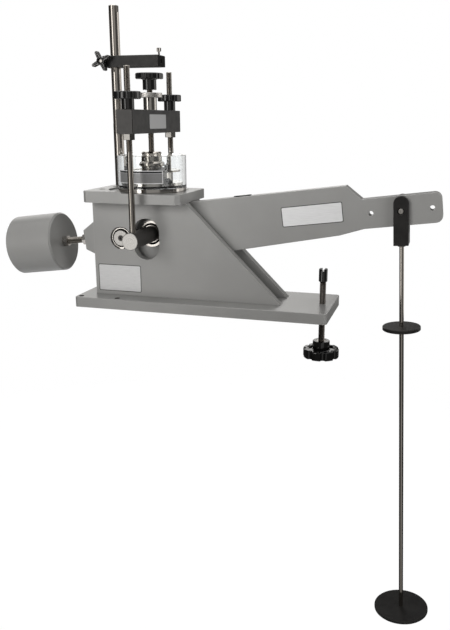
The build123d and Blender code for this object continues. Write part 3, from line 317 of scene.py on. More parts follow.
def steel(name, tones, stretch, grain=0.5 * MM, smooth=0.18, rough=0.36, marked=0.12):
    """Bare steel with tool marks: noise squeezed across the marks and drawn out along them."""
    material = new_material(name, smooth, Metallic=1.0)
    marks = noise(material, grain, stretch, detail=5.0)
    colour(material, marks, tones, 0.2, 0.75)
    polish(material, marks, smooth, rough)
    relief(material, marks, 0.02 * MM, marked)
    return material


def faced_steel(name, x, z, rings_per_metre=900.0):
    """Steel faced off in a lathe, with rings about an axis along Y."""
    material = new_material(name, 0.22, Metallic=1.0)
    texture = node(material, "TexNoise", Scale=rings_per_metre, Detail=3.0)
    texture.noise_dimensions = "1D"
    material.node_tree.links.new(off_axis(material, x, z), texture.inputs["W"])
    rings = texture.outputs["Fac"]
    colour(material, rings, FACED, 0.25, 0.7)
    polish(material, rings, 0.18, 0.34)
    relief(material, rings, 0.05 * MM, 0.3)
    return material


def anodised(name, tones, shine=0.3):
    """Satin black anodised aluminium, blasted to a fine grain."""
    material = new_material(name, 0.42, shine)
    colour(material, 14 * MM, tones, detail=5.0)
    # Lighter edges: partly wear, partly a painted edge highlight
    edge_wear_and_highlight(material, ANODISED_EDGE_WEAR_AND_HIGHLIGHT, 0.9 * MM, 1.3, 8 * MM)
    polish(material, 3 * MM, 0.36, 0.52)
    relief(material, 0.35 * MM, 0.03 * MM, 0.3, detail=2.0)
    return material


def black_paint():
    """Dense satin black paint, thin along its edges."""
    material = new_material("black_paint", 0.4, 0.2)
    colour(material, 20 * MM, PAINT, detail=5.0)
    edge_wear_and_highlight(material, ANODISED_EDGE_WEAR_AND_HIGHLIGHT, 0.6 * MM, 1.0)
    polish(material, 4 * MM, 0.34, 0.5)
    relief(material, 0.8 * MM, 0.04 * MM, 0.25, detail=2.0)
    return material


def moulded_plastic():
    """Glossy black moulded plastic with faint flow marks."""
    material = new_material("black_plastic", 0.1, 0.7)
    colour(material, 6 * MM, PLASTIC, detail=4.0)
    edge_wear_and_highlight(material, PLASTIC_WORN, 0.8 * MM, 1.0)
    polish(material, 2.5 * MM, 0.06, 0.12)
    relief(material, 1.2 * MM, 0.03 * MM, 0.05)
    return material


def enamel_edge_wear_highlight_hub_shade(x, z):
    """Black enamel with bright edges, partly rubbed through to bare metal and partly a painted highlight,
    and painted shade darkening the hollow of its hub nearly to black.
    """
    material = new_material("enamel_edge_wear_highlight_hub_shade", 0.35, 0.4)
    colour(material, 6 * MM, PLASTIC, detail=4.0)
    # Bright edges: partly bare metal, partly a painted edge highlight
    edge_wear_and_highlight(material, BRIGHT[0], 0.8 * MM, 1.9, 30 * MM)
    # Painted shade: the hollow of the hub darkened nearly to black
    darken(material, off_axis(material, x, z), 6.0 * MM, 7.0 * MM, 0.02)
    polish(material, 2.5 * MM, 0.26, 0.42)
    relief(material, 1.2 * MM, 0.03 * MM, 0.2)
    return material


def black_oxide(name, smooth, rough, shine):
    """Black oxide on steel, a little worn, from oiled to dry."""
    material = new_material(name, smooth, shine)
    colour(material, 3 * MM, OXIDE, detail=6.0)
    edge_wear_and_highlight(material, OXIDE_WORN, 0.4 * MM, 1.0)
    polish(material, 1.1 * MM, smooth, rough)
    relief(material, 0.4 * MM, 0.02 * MM, 0.25)
    return material


def clear_acrylic():
    """Clear cast acrylic with the faintest wipe marks."""
    material = new_material(
        "clear_acrylic", 0.02, Transmission_Weight=1.0, IOR=1.42, Base_Color=(0.97, 0.985, 0.985, 1)
    )
    polish(material, noise(material, 25 * MM, (1, 1, 0.3)), 0.0, 0.035)
    relief(material, 18 * MM, 0.05 * MM, 0.03)
    return material


def porous_stone():
    """Pale sintered porous stone."""
    material = new_material("porous_stone", 0.85)
    colour(material, 0.8 * MM, SINTERED, detail=6.0)
    relief(material, 0.6 * MM, 0.3 * MM, 0.6, detail=5.0)
    return material


def black_rubber():
    """Black rubber with a dull bloom."""
    material = new_material("black_rubber", 0.6, 0.05)
    colour(material, 4 * MM, BLOOM, detail=4.0)
    polish(material, 1.5 * MM, 0.5, 0.72)
    relief(material, 0.7 * MM, 0.04 * MM, 0.25)
    return material


def level_fluid():
    """Yellow-green spirit in the level's glass."""
    material = new_material("level_fluid", 0.05, Transmission_Weight=0.6, IOR=1.4, Coat_Weight=1.0)
    colour(material, 4 * MM, SPIRIT)
    return material


def ivory_nylon():
    """Natural nylon with a machined skin."""
    material = new_material("ivory_nylon", 0.5, Subsurface_Weight=0.1, Subsurface_Radius=(MM, MM, MM))
    colour(material, 5 * MM, IVORY, detail=4.0)
    relief(material, noise(material, 0.4 * MM, (1, 1, 6)), 0.03 * MM, 0.3)
    return material


def plate_finish(name, light, shade):
    """A thin metal plate of two greys, with a fine brushed grain."""
    material = new_material(name, 0.35, Metallic=0.25)
    grain = noise(material, 0.4 * MM, (0.03, 1, 1), detail=4.0)
    colour(material, grain, ((light,) * 3, (shade,) * 3))
    polish(material, grain, 0.28, 0.45)
    relief(material, grain, 0.01 * MM, 0.15)
    return material


# Tool marks, as shares along the axes, and the finish of a fine cut
ROUND_TOOLED = (0.05, 0.05, 1.0)
LONG_DRAWN = (1.0, 1.0, 0.02)
ALL_WAYS = (1.0, 1.0, 1.0)
CROSS_TURNED = (0.05, 1.0, 0.05)
FINE_CUT = {"smooth": 0.08, "rough": 0.16, "marked": 0.02}

GREY_COAT = powder_coat()
ROD_STEEL = steel("drawn_steel", ROD, LONG_DRAWN, 6 * MM, 0.12, 0.13, 0.02)
POLISHED_STEEL = steel("ground_steel", STEEL, LONG_DRAWN, 6 * MM, 0.1, 0.11, 0.01)
TURNED_STEEL = steel("turned_steel", STAINLESS, ROUND_TOOLED, **FINE_CUT)
CELL_STEEL = steel("turned_cell_steel", STAINLESS, ROUND_TOOLED, **FINE_CUT)
# Painted shade along the feet of the cell base's steps
paint_ao_shade(CELL_STEEL, 2.5 * MM, 0.02, clearest_ao=0.8)
CAP_STEEL = steel("turned_cap_steel", ROD, ROUND_TOOLED, smooth=0.12, rough=0.15, marked=0.02)
BRIGHT_STEEL = steel("bright_turned_steel", BRIGHT, ROUND_TOOLED, smooth=0.3, rough=0.4, marked=0.03)
ZINC_STEEL = steel("zinc_plated_steel", ZINC, ALL_WAYS, 1.5 * MM, 0.16, 0.3)
CROSS_STEEL = steel("cross_turned_steel", STAINLESS, CROSS_TURNED, smooth=0.16, rough=0.34)
JACK_STEEL = steel("dark_rolled_steel", DARK_STEEL, ALL_WAYS, 2.0 * MM, 0.24, 0.42)
PLATED_STEEL = steel("plated_steel", STAINLESS, ALL_WAYS, 1.5 * MM, 0.2, 0.34)
BAR_END_STEEL = faced_steel("faced_crossbar_steel", *middle("lower_crossbar").xz)
SHAFT_CAP_STEEL = faced_steel("faced_cap_steel", *middle("shaft_end_caps").xz)
ARM_BLACK = anodised("black_anodised_arm", ANODISED)
# Painted shade: a darker, duller copy of the anodised black
PAINTED_SHADE_BLACK = anodised("black_anodised_painted_shade", PLASTIC, 0.06)
CROSSHEAD_BLACK = anodised("black_anodised_crosshead", ANODISED_FADED)
# Painted light: a lighter copy of the crosshead's black for its end faces
CROSSHEAD_PAINTED_LIGHT_BLACK = anodised("black_anodised_crosshead_painted_light", ANODISED_PAINTED_LIGHT)
BLACK_PAINT = black_paint()
BLACK_PLASTIC = moulded_plastic()
BLACK_OXIDE = black_oxide("black_oxide", 0.3, 0.5, 0.4)
DRY_OXIDE = black_oxide("dry_black_oxide", 0.75, 0.95, 0.1)
ENAMEL = enamel_edge_wear_highlight_hub_shade(*middle("clamp_stud").xz)
ACRYLIC = clear_acrylic()
STONE = porous_stone()
RUBBER = black_rubber()
FLUID = level_fluid()
NYLON = ivory_nylon()
PLATE_WHITE = plate_finish("plate_white", 0.80, 0.72)
PLATE_SILVER = plate_finish("plate_silver", 0.55, 0.46)
PLATE_GREY = plate_finish("plate_grey", 0.24, 0.19)
PLATE_DARK = plate_finish("plate_dark", 0.030, 0.018)

NODE_LOOKS = (
    (GREY_COAT, "base_plate", "front_side_plate", "rear_side_plate", "top_plate", "beam", "counterweight"),
    (PLATED_STEEL, "rod_nut", "counterweight_locknut", "hanger_nut", "pin_clip", "clamp_stud"),
    (PLATED_STEEL, "bearing_balls", "load_ball"),
    (CROSS_STEEL, "bearing_outer_races", "bearing_inner_races", "pivot_shaft", "yoke_bush", "clevis_pin"),
    (POLISHED_STEEL, "dial_post", "hanger_rod"),
    (TURNED_STEEL, "screw_bush", "specimen_ring"),
    (CELL_STEEL, "cell_base"),
    (CAP_STEEL, "clamp_ring"),
    (ZINC_STEEL, "crosshead_nuts"),
    (SHAFT_CAP_STEEL, "shaft_end_caps"),
    (BLACK_OXIDE, "shaft_end_screws", "circlips"),
    (DRY_OXIDE, "base_screws", "platform_screws"),
    (BLACK_PLASTIC, "jack_cap", "level_housing"),
    (BLACK_PAINT, "hanger_clevis", "middle_disc", "bottom_disc"),
    (CROSSHEAD_BLACK, "crosshead"),
    (ARM_BLACK, "dial_arm"),
    (ENAMEL, "star_knob"),
    (STONE, "lower_stone", "upper_stone"),
    (NYLON, "arm_bush"),
)

for material, *names in NODE_LOOKS:
    for name in names:
        shown = frame["nodes"][name].data.materials
        shown.clear()
        shown.append(material)

# Second materials: painted shade in the base plate's bores, on the dial arm's end and on the crosshead's
# slanted corners, and painted light on the crosshead's end faces
EDGE_ZONE = 3 * MM
SQUARE_ON = 0.9
MOSTLY = 0.5
ASLANT = 0.3
base_low, base_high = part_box("base_plate")
arm_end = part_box("dial_arm")[1][0]


def second_look(name, material, chosen):
    """A second material for the faces of a node that are chosen by their place and direction."""
    shown = frame["nodes"][name]
    shown.data.materials.append(material)
    slot = len(shown.data.materials) - 1
    for face in shown.data.polygons:
        if chosen(shown.matrix_world @ face.center, shown.matrix_world.to_3x3() @ face.normal):
            face.material_index = slot


def in_bore(at, facing):
    """Whether a face of the base plate stands upright away from its outer edges."""
    spread = [min(at[axis] - base_low[axis], base_high[axis] - at[axis]) for axis in (0, 1)]
    return min(spread) > EDGE_ZONE and abs(facing.z) < MOSTLY


# Painted shade: the bore walls of the base plate take the dark oxide
second_look("base_plate", DRY_OXIDE, in_bore)
# Painted light on the crosshead's end faces
second_look("crosshead", CROSSHEAD_PAINTED_LIGHT_BLACK, lambda at, facing: abs(facing.y) > SQUARE_ON)
# Painted shade on the crosshead's slanted corner faces
second_look("crosshead", PAINTED_SHADE_BLACK, lambda at, facing: min(abs(facing.x), abs(facing.y)) > ASLANT)
# Painted shade on the dial arm's end face
second_look("dial_arm", PAINTED_SHADE_BLACK, lambda at, facing: at.x > arm_end - EDGE_ZONE and facing.x > MOSTLY)


# Pieces

def new_object(name, mesh, material):
    """Turns a bmesh into an object of one material."""
    data = bpy.data.meshes.new(name)
    mesh.to_mesh(data)
    mesh.free()
    data.materials.append(material)
    made = bpy.data.objects.new(name, data)
    bpy.context.collection.objects.link(made)
    return made


def make_piece(name, mesh, material, body, slot, *replaced):
    """Turns a bmesh into a piece that rides on a body and stands for the named nodes."""
    bmesh.ops.recalc_face_normals(mesh, faces=mesh.faces)
    piece = new_object(name, mesh, material)
    piece.data.shade_smooth()
    piece.data.set_sharp_from_angle(angle=SMOOTH_ANGLE)
    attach(piece, body)
    if replaced:
        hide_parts(*replaced)
    return piece


def turn(place, profile, segments=64, outline=None, closed=False, mesh=None):
    """Turns rows of (radius, height) about a frame's Z axis. outline(angle, radius, height) shapes them."""
    mesh = bmesh.new() if mesh is None else mesh
    rows = []
    for radius, height in profile:
        row = []
        for step in range(segments if radius else 1):
            angle = tau * step / segments
            reach = outline(angle, radius, height) if outline and radius else radius
            row.append(mesh.verts.new(place @ Vector((reach * cos(angle), reach * sin(angle), height))))
        rows.append(row)
    for lower, upper in zip(rows, rows[1:] + rows[:1] if closed else rows[1:]):
        for step in range(segments):
            ahead = step + 1
            ring = [lower[step % len(lower)], lower[ahead % len(lower)], upper[ahead % len(upper)]]
            ring.append(upper[step % len(upper)])
            mesh.faces.new(list(dict.fromkeys(ring)))
    return mesh


def rounded(radius, low, high, edge, inner):
    """Profile of a rim: up from an inner radius under it, round both edges and back over it."""
    corner = [pi / 2 * step / CORNER_STEPS for step in range(CORNER_STEPS + 1)]
    under = [(radius - edge + edge * sin(bend), low + edge - edge * cos(bend)) for bend in corner]
    over = [(radius - edge + edge * cos(bend), high - edge + edge * sin(bend)) for bend in corner]
    return [(inner, low)] + under + over + [(inner, high)]


def thread(radius, pitch, start, stop):
    """An outline for turn() that cuts a thread into the stretch between two heights."""
    def cut(angle, reach, height):
        if not start <= height <= stop or reach < radius * THREAD_CREST:
            return reach
        phase = (height / pitch - angle / tau) % 1.0
        return reach - THREAD_SHARE * pitch * abs(2 * phase - 1)
    return cut


def knurl(radius, teeth, depth=KNURL_DEPTH):
    """Segments and outline for turn() that cut straight knurls into all that stands at the full radius."""
    def cut(angle, reach, height):
        if reach < radius * KNURL_CREST:
            return reach
        return reach - depth * (0.5 + 0.5 * cos(teeth * angle))
    return KNURL_STEPS * teeth, cut


def flutes(radius, count, depth, from_radius, flute_radius=FLUTE_RADIUS, steps=FLUTE_STEPS):
    """Segments and outline for turn() that scoop round flutes into a rim, outside a radius."""
    centre = radius + flute_radius - depth
    opening = acos((centre ** 2 + radius ** 2 - flute_radius ** 2) / (2 * centre * radius))

    def cut(angle, reach, height):
        if reach <= from_radius:
            return reach
        away = (angle + pi / count) % (tau / count) - pi / count
        if abs(away) >= opening:
            return reach
        scooped = centre * cos(away) - sqrt(flute_radius ** 2 - (centre * sin(away)) ** 2)
        return reach * scooped / radius
    return steps * count, cut


def threaded_rows(radius, length, pitch, start, stop, edge):
    """Profile of a rod with rows close enough to carry a thread between two heights."""
    count = int((stop - start) / pitch * ROWS_PER_TURN)
    rows = [start + (stop - start) * step / count for step in range(count + 1)]
    heights = [edge] * (start > edge) + rows + [length - edge] * (stop < length - edge)
    sides = [(radius, height) for height in heights]
    return [(0, 0), (radius - edge, 0)] + sides + [(radius - edge, length), (0, length)]


def threaded_rod(place, radius, length, pitch, start=0, segments=ROD_SEGMENTS, mesh=None):
    """A rod with chamfered ends, and rolled threads from a height to its top."""
    edge = THREAD_CHAMFER * pitch
    low, high = max(start, edge), length - edge
    rows = threaded_rows(radius, length, pitch, low, high, edge)
    return turn(place, rows, segments, thread(radius, pitch, low, high), mesh=mesh)


# Yoke rods, plain up to a little below the crosshead and threaded from there
THREAD_BELOW = 30 * MM
crosshead_low, crosshead_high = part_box("crosshead")
for side in ("front", "rear"):
    rod = f"{side}_yoke_rod"
    threaded_from = crosshead_low[2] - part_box(rod)[0][2] - THREAD_BELOW
    mesh = threaded_rod(foot(rod), span(rod).x / 2, rise(rod), ROD_PITCH, threaded_from)
    make_piece(f"{side}_threaded_rod", mesh, ROD_STEEL, "yoke", "bright_steel", rod)

# Loading screw
screw_radius = span("loading_screw").x / 2
mesh = threaded_rod(foot("loading_screw"), screw_radius, rise("loading_screw"), SCREW_PITCH)
make_piece("threaded_loading_screw", mesh, ROD_STEEL, "loading_screw", "bright_steel", "loading_screw")

# Counterweight rod
outward = Vector(joint("counterweight_slide")["axis"]).normalized()
rod_radius = span("counterweight_rod").y / 2
rod_length = (span("counterweight_rod").x - 2 * rod_radius * abs(outward.z)) / abs(outward.x)
rod_start = middle("counterweight_rod") - outward * rod_length / 2
mesh = threaded_rod(along(rod_start, outward), rod_radius, rod_length, ROD_PITCH)
make_piece("threaded_counterweight_rod", mesh, ROD_STEEL, "beam", "bright_steel", "counterweight_rod")

# Jack screw, with a plain tip inside its cap
JACK_EDGE = 1.0 * MM
TIP_RADIUS = 4.0 * MM
jack_radius = span("jack_screw").x / 2
tip_top = rise("jack_screw")
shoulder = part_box("jack_cap")[0][2] - LOOSE_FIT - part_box("jack_screw")[0][2]
jack_thread = (SCREW_PITCH, JACK_EDGE, shoulder - JACK_EDGE)
jack_rows = threaded_rows(jack_radius, shoulder, *jack_thread, JACK_EDGE)[:-1]
jack_rows += [(TIP_RADIUS, shoulder), (TIP_RADIUS, tip_top), (0, tip_top)]
mesh = turn(foot("jack_screw"), jack_rows, ROD_SEGMENTS, thread(jack_radius, *jack_thread))
make_piece("threaded_jack_screw", mesh, JACK_STEEL, "jack_screw", "black_oxide", "jack_screw")

# Cell studs and their knurled nuts
STUD_COUNT = 3
STUD_CIRCLE = 46 * MM
STUD_ANGLE = radians(73)
STUD_RADIUS = 2.5 * MM
STUD_SEGMENTS = 20
NUT_RADIUS = 6.0 * MM
NUT_EDGE = 0.7 * MM
NUT_TEETH = 30
cell = middle("acrylic_wall")
stud_foot, nut_foot = (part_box(name)[0][2] for name in ("cell_studs", "cell_nuts"))
nut_profile = rounded(NUT_RADIUS, 0, rise("cell_nuts"), NUT_EDGE, STUD_RADIUS + TIGHT_FIT)
nut_knurls = knurl(NUT_RADIUS, NUT_TEETH)
stud_mesh = bmesh.new()
nut_mesh = bmesh.new()
for step in range(STUD_COUNT):
    angle = STUD_ANGLE + tau * step / STUD_COUNT
    x = cell.x + STUD_CIRCLE * cos(angle)
    y = cell.y + STUD_CIRCLE * sin(angle)
    place = Matrix.Translation((x, y, stud_foot))
    threaded_rod(place, STUD_RADIUS, rise("cell_studs"), FINE_PITCH, segments=STUD_SEGMENTS, mesh=stud_mesh)
    place = Matrix.Translation((x, y, nut_foot))
    turn(place, nut_profile, *nut_knurls, closed=True, mesh=nut_mesh)
make_piece("threaded_cell_studs", stud_mesh, CAP_STEEL, "frame", "stainless", "cell_studs")
make_piece("knurled_cell_nuts", nut_mesh, BLACK_OXIDE, "frame", "black_oxide", "cell_nuts")

# Drain plug: a knurled grip under a cone, with its spigot in the cell base
GRIP_HEIGHT = 4.5 * MM
GRIP_TEETH = 30
GRIP_CUT = 0.4 * MM
SPIGOT_RADIUS = 3.0 * MM
CROWN_CHAMFER = 1.2 * MM
CROWN_HEIGHT = 1.4 * MM
grip_radius = span("drain_plug").x / 2
grip_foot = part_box("cell_base")[1][2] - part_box("drain_plug")[0][2]
plug_top = rise("drain_plug")
profile = [(0, 0), (SPIGOT_RADIUS, 0)]
profile += rounded(grip_radius, grip_foot, grip_foot + GRIP_HEIGHT, SMALL_EDGE, SPIGOT_RADIUS)[:-1]
profile += [(SPIGOT_RADIUS + CROWN_CHAMFER, plug_top - CROWN_HEIGHT)]
profile += [(SPIGOT_RADIUS, plug_top), (0, plug_top)]
mesh = turn(foot("drain_plug"), profile, *knurl(grip_radius, GRIP_TEETH, GRIP_CUT))
make_piece("knurled_drain_plug", mesh, BLACK_PLASTIC, "frame", "black_plastic", "drain_plug")

# Lock disc on the loading screw
LOCK_EDGE = 0.9 * MM
LOCK_TEETH = 72
LOCK_CUT = 0.2 * MM
lock_radius = span("lock_disc").x / 2
profile = rounded(lock_radius, 0, rise("lock_disc"), LOCK_EDGE, screw_radius + TURNING_FIT)
lock_knurls = knurl(lock_radius, LOCK_TEETH, LOCK_CUT)
mesh = turn(foot("lock_disc", "loading_screw"), profile, *lock_knurls, closed=True)
make_piece("knurled_lock_disc", mesh, BRIGHT_STEEL, "lock_disc", "bright_steel", "lock_disc")

# Gauge thumbscrew: a threaded stem under a knurled head with a screwdriver dimple
STEM_RADIUS = 2.0 * MM
STEM_EDGE = 0.4 * MM
STEM_NECK = 1.0 * MM
HEAD_HEIGHT = 6.4 * MM
HEAD_TEETH = 24
DIMPLE_RADIUS = 1.6 * MM
DIMPLE_FLOOR = 1.2 * MM
DIMPLE_DEPTH = 0.8 * MM
head_radius = span("gauge_thumbscrew").x / 2
head_top = rise("gauge_thumbscrew")
head_bottom = head_top - HEAD_HEIGHT
dimple_bottom = head_top - DIMPLE_DEPTH
stem_thread = (FINE_PITCH, STEM_EDGE, head_bottom - STEM_NECK)
stem_rows = threaded_rows(STEM_RADIUS, head_bottom, *stem_thread, STEM_EDGE)[:-2]
head_rows = rounded(head_radius, head_bottom, head_top, SMALL_EDGE, STEM_RADIUS)[:-1]
dimple = [(DIMPLE_RADIUS, head_top), (DIMPLE_FLOOR, dimple_bottom), (0, dimple_bottom)]
stem_outline = thread(STEM_RADIUS, *stem_thread)
head_segments, head_outline = knurl(head_radius, HEAD_TEETH)


def thumbscrew_outline(angle, reach, height):
    """Threads on the stem and knurls on the head."""
    shape = stem_outline if height < head_bottom else head_outline
    return shape(angle, reach, height)


mesh = turn(foot("gauge_thumbscrew"), stem_rows + head_rows + dimple, head_segments, thumbscrew_outline)
make_piece("knurled_thumbscrew", mesh, TURNED_STEEL, "gauge_thumbscrew", "bright_steel", "gauge_thumbscrew")

# Thumbwheels on the yoke rods
WHEEL_RIM = 12.6 * MM
WHEEL_EDGE = 2.2 * MM
WHEEL_HUB_RADIUS = 11.0 * MM
WHEEL_HUB_EDGE = 0.5 * MM
WHEEL_FLUTES = 10
WHEEL_FLUTE_DEPTH = 1.9 * MM
for side in ("front", "rear"):
    wheel = f"{side}_thumbwheel"
    wheel_radius = span(wheel).y / 2
    wheel_top = rise(wheel)
    rod_hole = span(f"{side}_yoke_rod").x / 2 + TURNING_FIT
    profile = [(rod_hole, 0), (WHEEL_HUB_RADIUS - WHEEL_HUB_EDGE, 0), (WHEEL_HUB_RADIUS, WHEEL_HUB_EDGE)]
    profile += rounded(wheel_radius, wheel_top - WHEEL_RIM, wheel_top, WHEEL_EDGE, WHEEL_HUB_RADIUS)
    profile += [(rod_hole, wheel_top)]
    wheel_flutes = flutes(wheel_radius, WHEEL_FLUTES, WHEEL_FLUTE_DEPTH, WHEEL_HUB_RADIUS)
    mesh = turn(foot(wheel), profile, *wheel_flutes, closed=True)
    make_piece(f"{side}_fluted_wheel", mesh, BLACK_PLASTIC, wheel, "black_plastic", wheel)

# T-knob on the loading screw
KNOB_RADIUS = 25.0 * MM
KNOB_RIM = 10.2 * MM
KNOB_EDGE = 2.4 * MM
KNOB_HUB_RADIUS = 12.4 * MM
HUB_FLARE = 1.5 * MM
HOLE_DEPTH = 13.0 * MM
DISH_RADIUS = 9.0 * MM
DISH_FLOOR = 8.0 * MM
DISH_DEPTH = 0.6 * MM
KNOB_FLUTES = 12
KNOB_FLUTE_DEPTH = 0.9 * MM
knob_top = rise("t_knob")
rim_foot = knob_top - KNOB_RIM
knob_hole = screw_radius + TIGHT_FIT
flare_radius = KNOB_HUB_RADIUS + HUB_FLARE
dish_bottom = knob_top - DISH_DEPTH
profile = [(0, HOLE_DEPTH), (knob_hole, HOLE_DEPTH), (knob_hole, 0)]
profile += [(KNOB_HUB_RADIUS - SMALL_EDGE, 0), (KNOB_HUB_RADIUS, SMALL_EDGE)]
profile += [(KNOB_HUB_RADIUS, rim_foot - HUB_FLARE)]
profile += rounded(KNOB_RADIUS, rim_foot, knob_top, KNOB_EDGE, flare_radius)
profile += [(DISH_RADIUS, knob_top), (DISH_FLOOR, dish_bottom), (0, dish_bottom)]
knob_flutes = flutes(KNOB_RADIUS, KNOB_FLUTES, KNOB_FLUTE_DEPTH, flare_radius)
mesh = turn(foot("t_knob", "loading_screw"), profile, *knob_flutes)
make_piece("fluted_t_knob", mesh, BLACK_PLASTIC, "loading_screw", "black_plastic", "t_knob")

# Jack handwheel: a fluted rim round a sunk web, on a tall collar with a steel insert
JACK_TURN = radians(15.5)
JACK_FLUTES = 8
JACK_FLUTE_RADIUS = 5.0 * MM
JACK_FLUTE_DEPTH = 4.4 * MM
JACK_FLUTE_STEPS = 36
RIM_RADIUS = 32.5 * MM
RIM_HEIGHT = 16.4 * MM
RIM_EDGE = 1.8 * MM
UNDERCUT_RADIUS = 13.0 * MM
UNDERCUT_FLOOR = 11.0 * MM
UNDERCUT_DEPTH = 1.0 * MM
WEB_RADIUS = 25.0 * MM
WEB_HEIGHT = 13.4 * MM
WEB_EDGE = 0.8 * MM
COLLAR_RADIUS = 15.5 * MM
COLLAR_EDGE = 1.0 * MM
HOLE_FOOT = RIM_HEIGHT / 3
INSERT_RADIUS = 9.0 * MM
INSERT_HEIGHT = 0.7 * MM
INSERT_EDGE = 0.2 * MM
INSERT_GAP = 0.05 * MM
INSERT_SINK = 1.0 * MM
SINK_EDGE = 0.5 * MM
collar_top = rise("jack_wheel")
collar_hole = jack_radius + TIGHT_FIT
seat = collar_top - INSERT_SINK
profile = [(0, UNDERCUT_DEPTH), (UNDERCUT_FLOOR, UNDERCUT_DEPTH), (UNDERCUT_RADIUS, 0)]
profile += rounded(RIM_RADIUS, 0, RIM_HEIGHT, RIM_EDGE, WEB_RADIUS + WEB_EDGE)
profile += [(WEB_RADIUS, RIM_HEIGHT - WEB_EDGE), (WEB_RADIUS, WEB_HEIGHT)]
profile += [(COLLAR_RADIUS + COLLAR_EDGE, WEB_HEIGHT), (COLLAR_RADIUS, WEB_HEIGHT + COLLAR_EDGE)]
profile += [(COLLAR_RADIUS, collar_top - COLLAR_EDGE), (COLLAR_RADIUS - COLLAR_EDGE, collar_top)]
profile += [(INSERT_RADIUS + SINK_EDGE, collar_top)]
profile += [(INSERT_RADIUS, collar_top - SINK_EDGE), (INSERT_RADIUS, seat)]
profile += [(collar_hole, seat), (collar_hole, HOLE_FOOT), (0, HOLE_FOOT)]
place = foot("jack_wheel", "jack_screw") @ Matrix.Rotation(JACK_TURN, 4, "Z")
jack_flutes = (JACK_FLUTES, JACK_FLUTE_DEPTH, WEB_RADIUS, JACK_FLUTE_RADIUS, JACK_FLUTE_STEPS)
mesh = turn(place, profile, *flutes(RIM_RADIUS, *jack_flutes))
make_piece("fluted_jack_wheel", mesh, BLACK_PLASTIC, "jack_screw", "black_plastic", "jack_wheel")
profile = rounded(INSERT_RADIUS - INSERT_GAP, 0, INSERT_HEIGHT, INSERT_EDGE, jack_radius + LOOSE_FIT)
place = Matrix.Translation((*middle("jack_screw").xy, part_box("jack_wheel")[1][2] - INSERT_SINK))
mesh = turn(place, profile, closed=True)
make_piece("jack_wheel_insert", mesh, PLATED_STEEL, "jack_screw", "bright_steel")

# Rubber seals between the bearing races
SEAL_INNER = 15.1 * MM
SEAL_OUTER = 17.3 * MM
SEAL_SINK = 0.25 * MM
seal_profile = rounded(SEAL_OUTER, -SEAL_SINK, 0, FINE_EDGE, SEAL_INNER)
mesh = bmesh.new()
for place in end_frames("bearing_outer_races"):
    turn(place, seal_profile, RING_SEGMENTS, closed=True, mesh=mesh)
make_piece("bearing_seals", mesh, RUBBER, "frame", "black_plastic")

# Seals and ground faces of the bearing that the crossbar turns in
YOKE_SEAL_INNER = 16.3 * MM
YOKE_SEAL_OUTER = 20.2 * MM
YOKE_FACE_OUTER = 24.4 * MM
FACE_GAP = 0.01 * MM
FACE_PROUD = 0.2 * MM
FACE_EDGE = 0.08 * MM
seal_profile = rounded(YOKE_SEAL_OUTER, FACE_GAP, FACE_PROUD, FACE_EDGE, YOKE_SEAL_INNER)
face_profile = rounded(YOKE_FACE_OUTER, FACE_GAP, FACE_PROUD, FACE_EDGE, YOKE_SEAL_OUTER + TIGHT_FIT)
seal_mesh = bmesh.new()
face_mesh = bmesh.new()
for place in end_frames("yoke_bush"):
    turn(place, seal_profile, RING_SEGMENTS, closed=True, mesh=seal_mesh)
    turn(place, face_profile, RING_SEGMENTS, closed=True, mesh=face_mesh)
make_piece("yoke_bearing_seals", seal_mesh, RUBBER, "beam", "black_plastic")
make_piece("yoke_bearing_faces", face_mesh, PLATED_STEEL, "beam", "bright_steel")

# Lower crossbar, black along its length with bright turned ends
END_EDGE = 0.8 * MM
END_STEEL = 0.9 * END_EDGE
bar_radius = span("lower_crossbar").x / 2
bar_half = span("lower_crossbar").y / 2
bar_frame = Matrix.Translation(middle("lower_crossbar")) @ Matrix.Rotation(pi / 2, 4, "X")
profile = [(0, -bar_half), (bar_radius - END_EDGE, -bar_half), (bar_radius, -bar_half + END_EDGE)]
profile += [(bar_radius, bar_half - END_EDGE), (bar_radius - END_EDGE, bar_half), (0, bar_half)]
mesh = turn(bar_frame, profile, RING_SEGMENTS)
crossbar = make_piece("turned_crossbar", mesh, BLACK_OXIDE, "yoke", "black_coat", "lower_crossbar")
crossbar.data.materials.append(BAR_END_STEEL)
for face in crossbar.data.polygons:
    if abs(face.center.y) > bar_half - END_STEEL:
        face.material_index = 1

# Acrylic wall with polished, broken rims
WALL_THICKNESS = 6.0 * MM
WALL_EDGE = 0.7 * MM
wall_radius = span("acrylic_wall").x / 2
wall_top = rise("acrylic_wall")
wall_inner = wall_radius - WALL_THICKNESS
profile = [(wall_inner + WALL_EDGE, 0), (wall_radius - WALL_EDGE, 0), (wall_radius, WALL_EDGE)]
profile += [(wall_radius, wall_top - WALL_EDGE), (wall_radius - WALL_EDGE, wall_top)]
profile += [(wall_inner + WALL_EDGE, wall_top), (wall_inner, wall_top - WALL_EDGE)]
profile += [(wall_inner, WALL_EDGE)]
mesh = turn(foot("acrylic_wall"), profile, WALL_SEGMENTS, closed=True)
wall = make_piece("polished_acrylic_wall", mesh, ACRYLIC, "frame", "clear_acrylic", "acrylic_wall")
wall.visible_shadow = False

# O-ring, squeezed flat against the wall
RING_HEIGHT = 3.8 * MM
RING_DEPTH = 3.0 * MM
ring_outer = wall_inner + TIGHT_FIT
profile = rounded(ring_outer, -RING_HEIGHT / 2, RING_HEIGHT / 2, SMALL_EDGE, wall_inner - RING_DEPTH)
place = Matrix.Translation((cell.x, cell.y, middle("o_ring").z))
mesh = turn(place, profile, WALL_SEGMENTS, closed=True)
make_piece("seated_o_ring", mesh, RUBBER, "frame", "black_plastic", "o_ring")

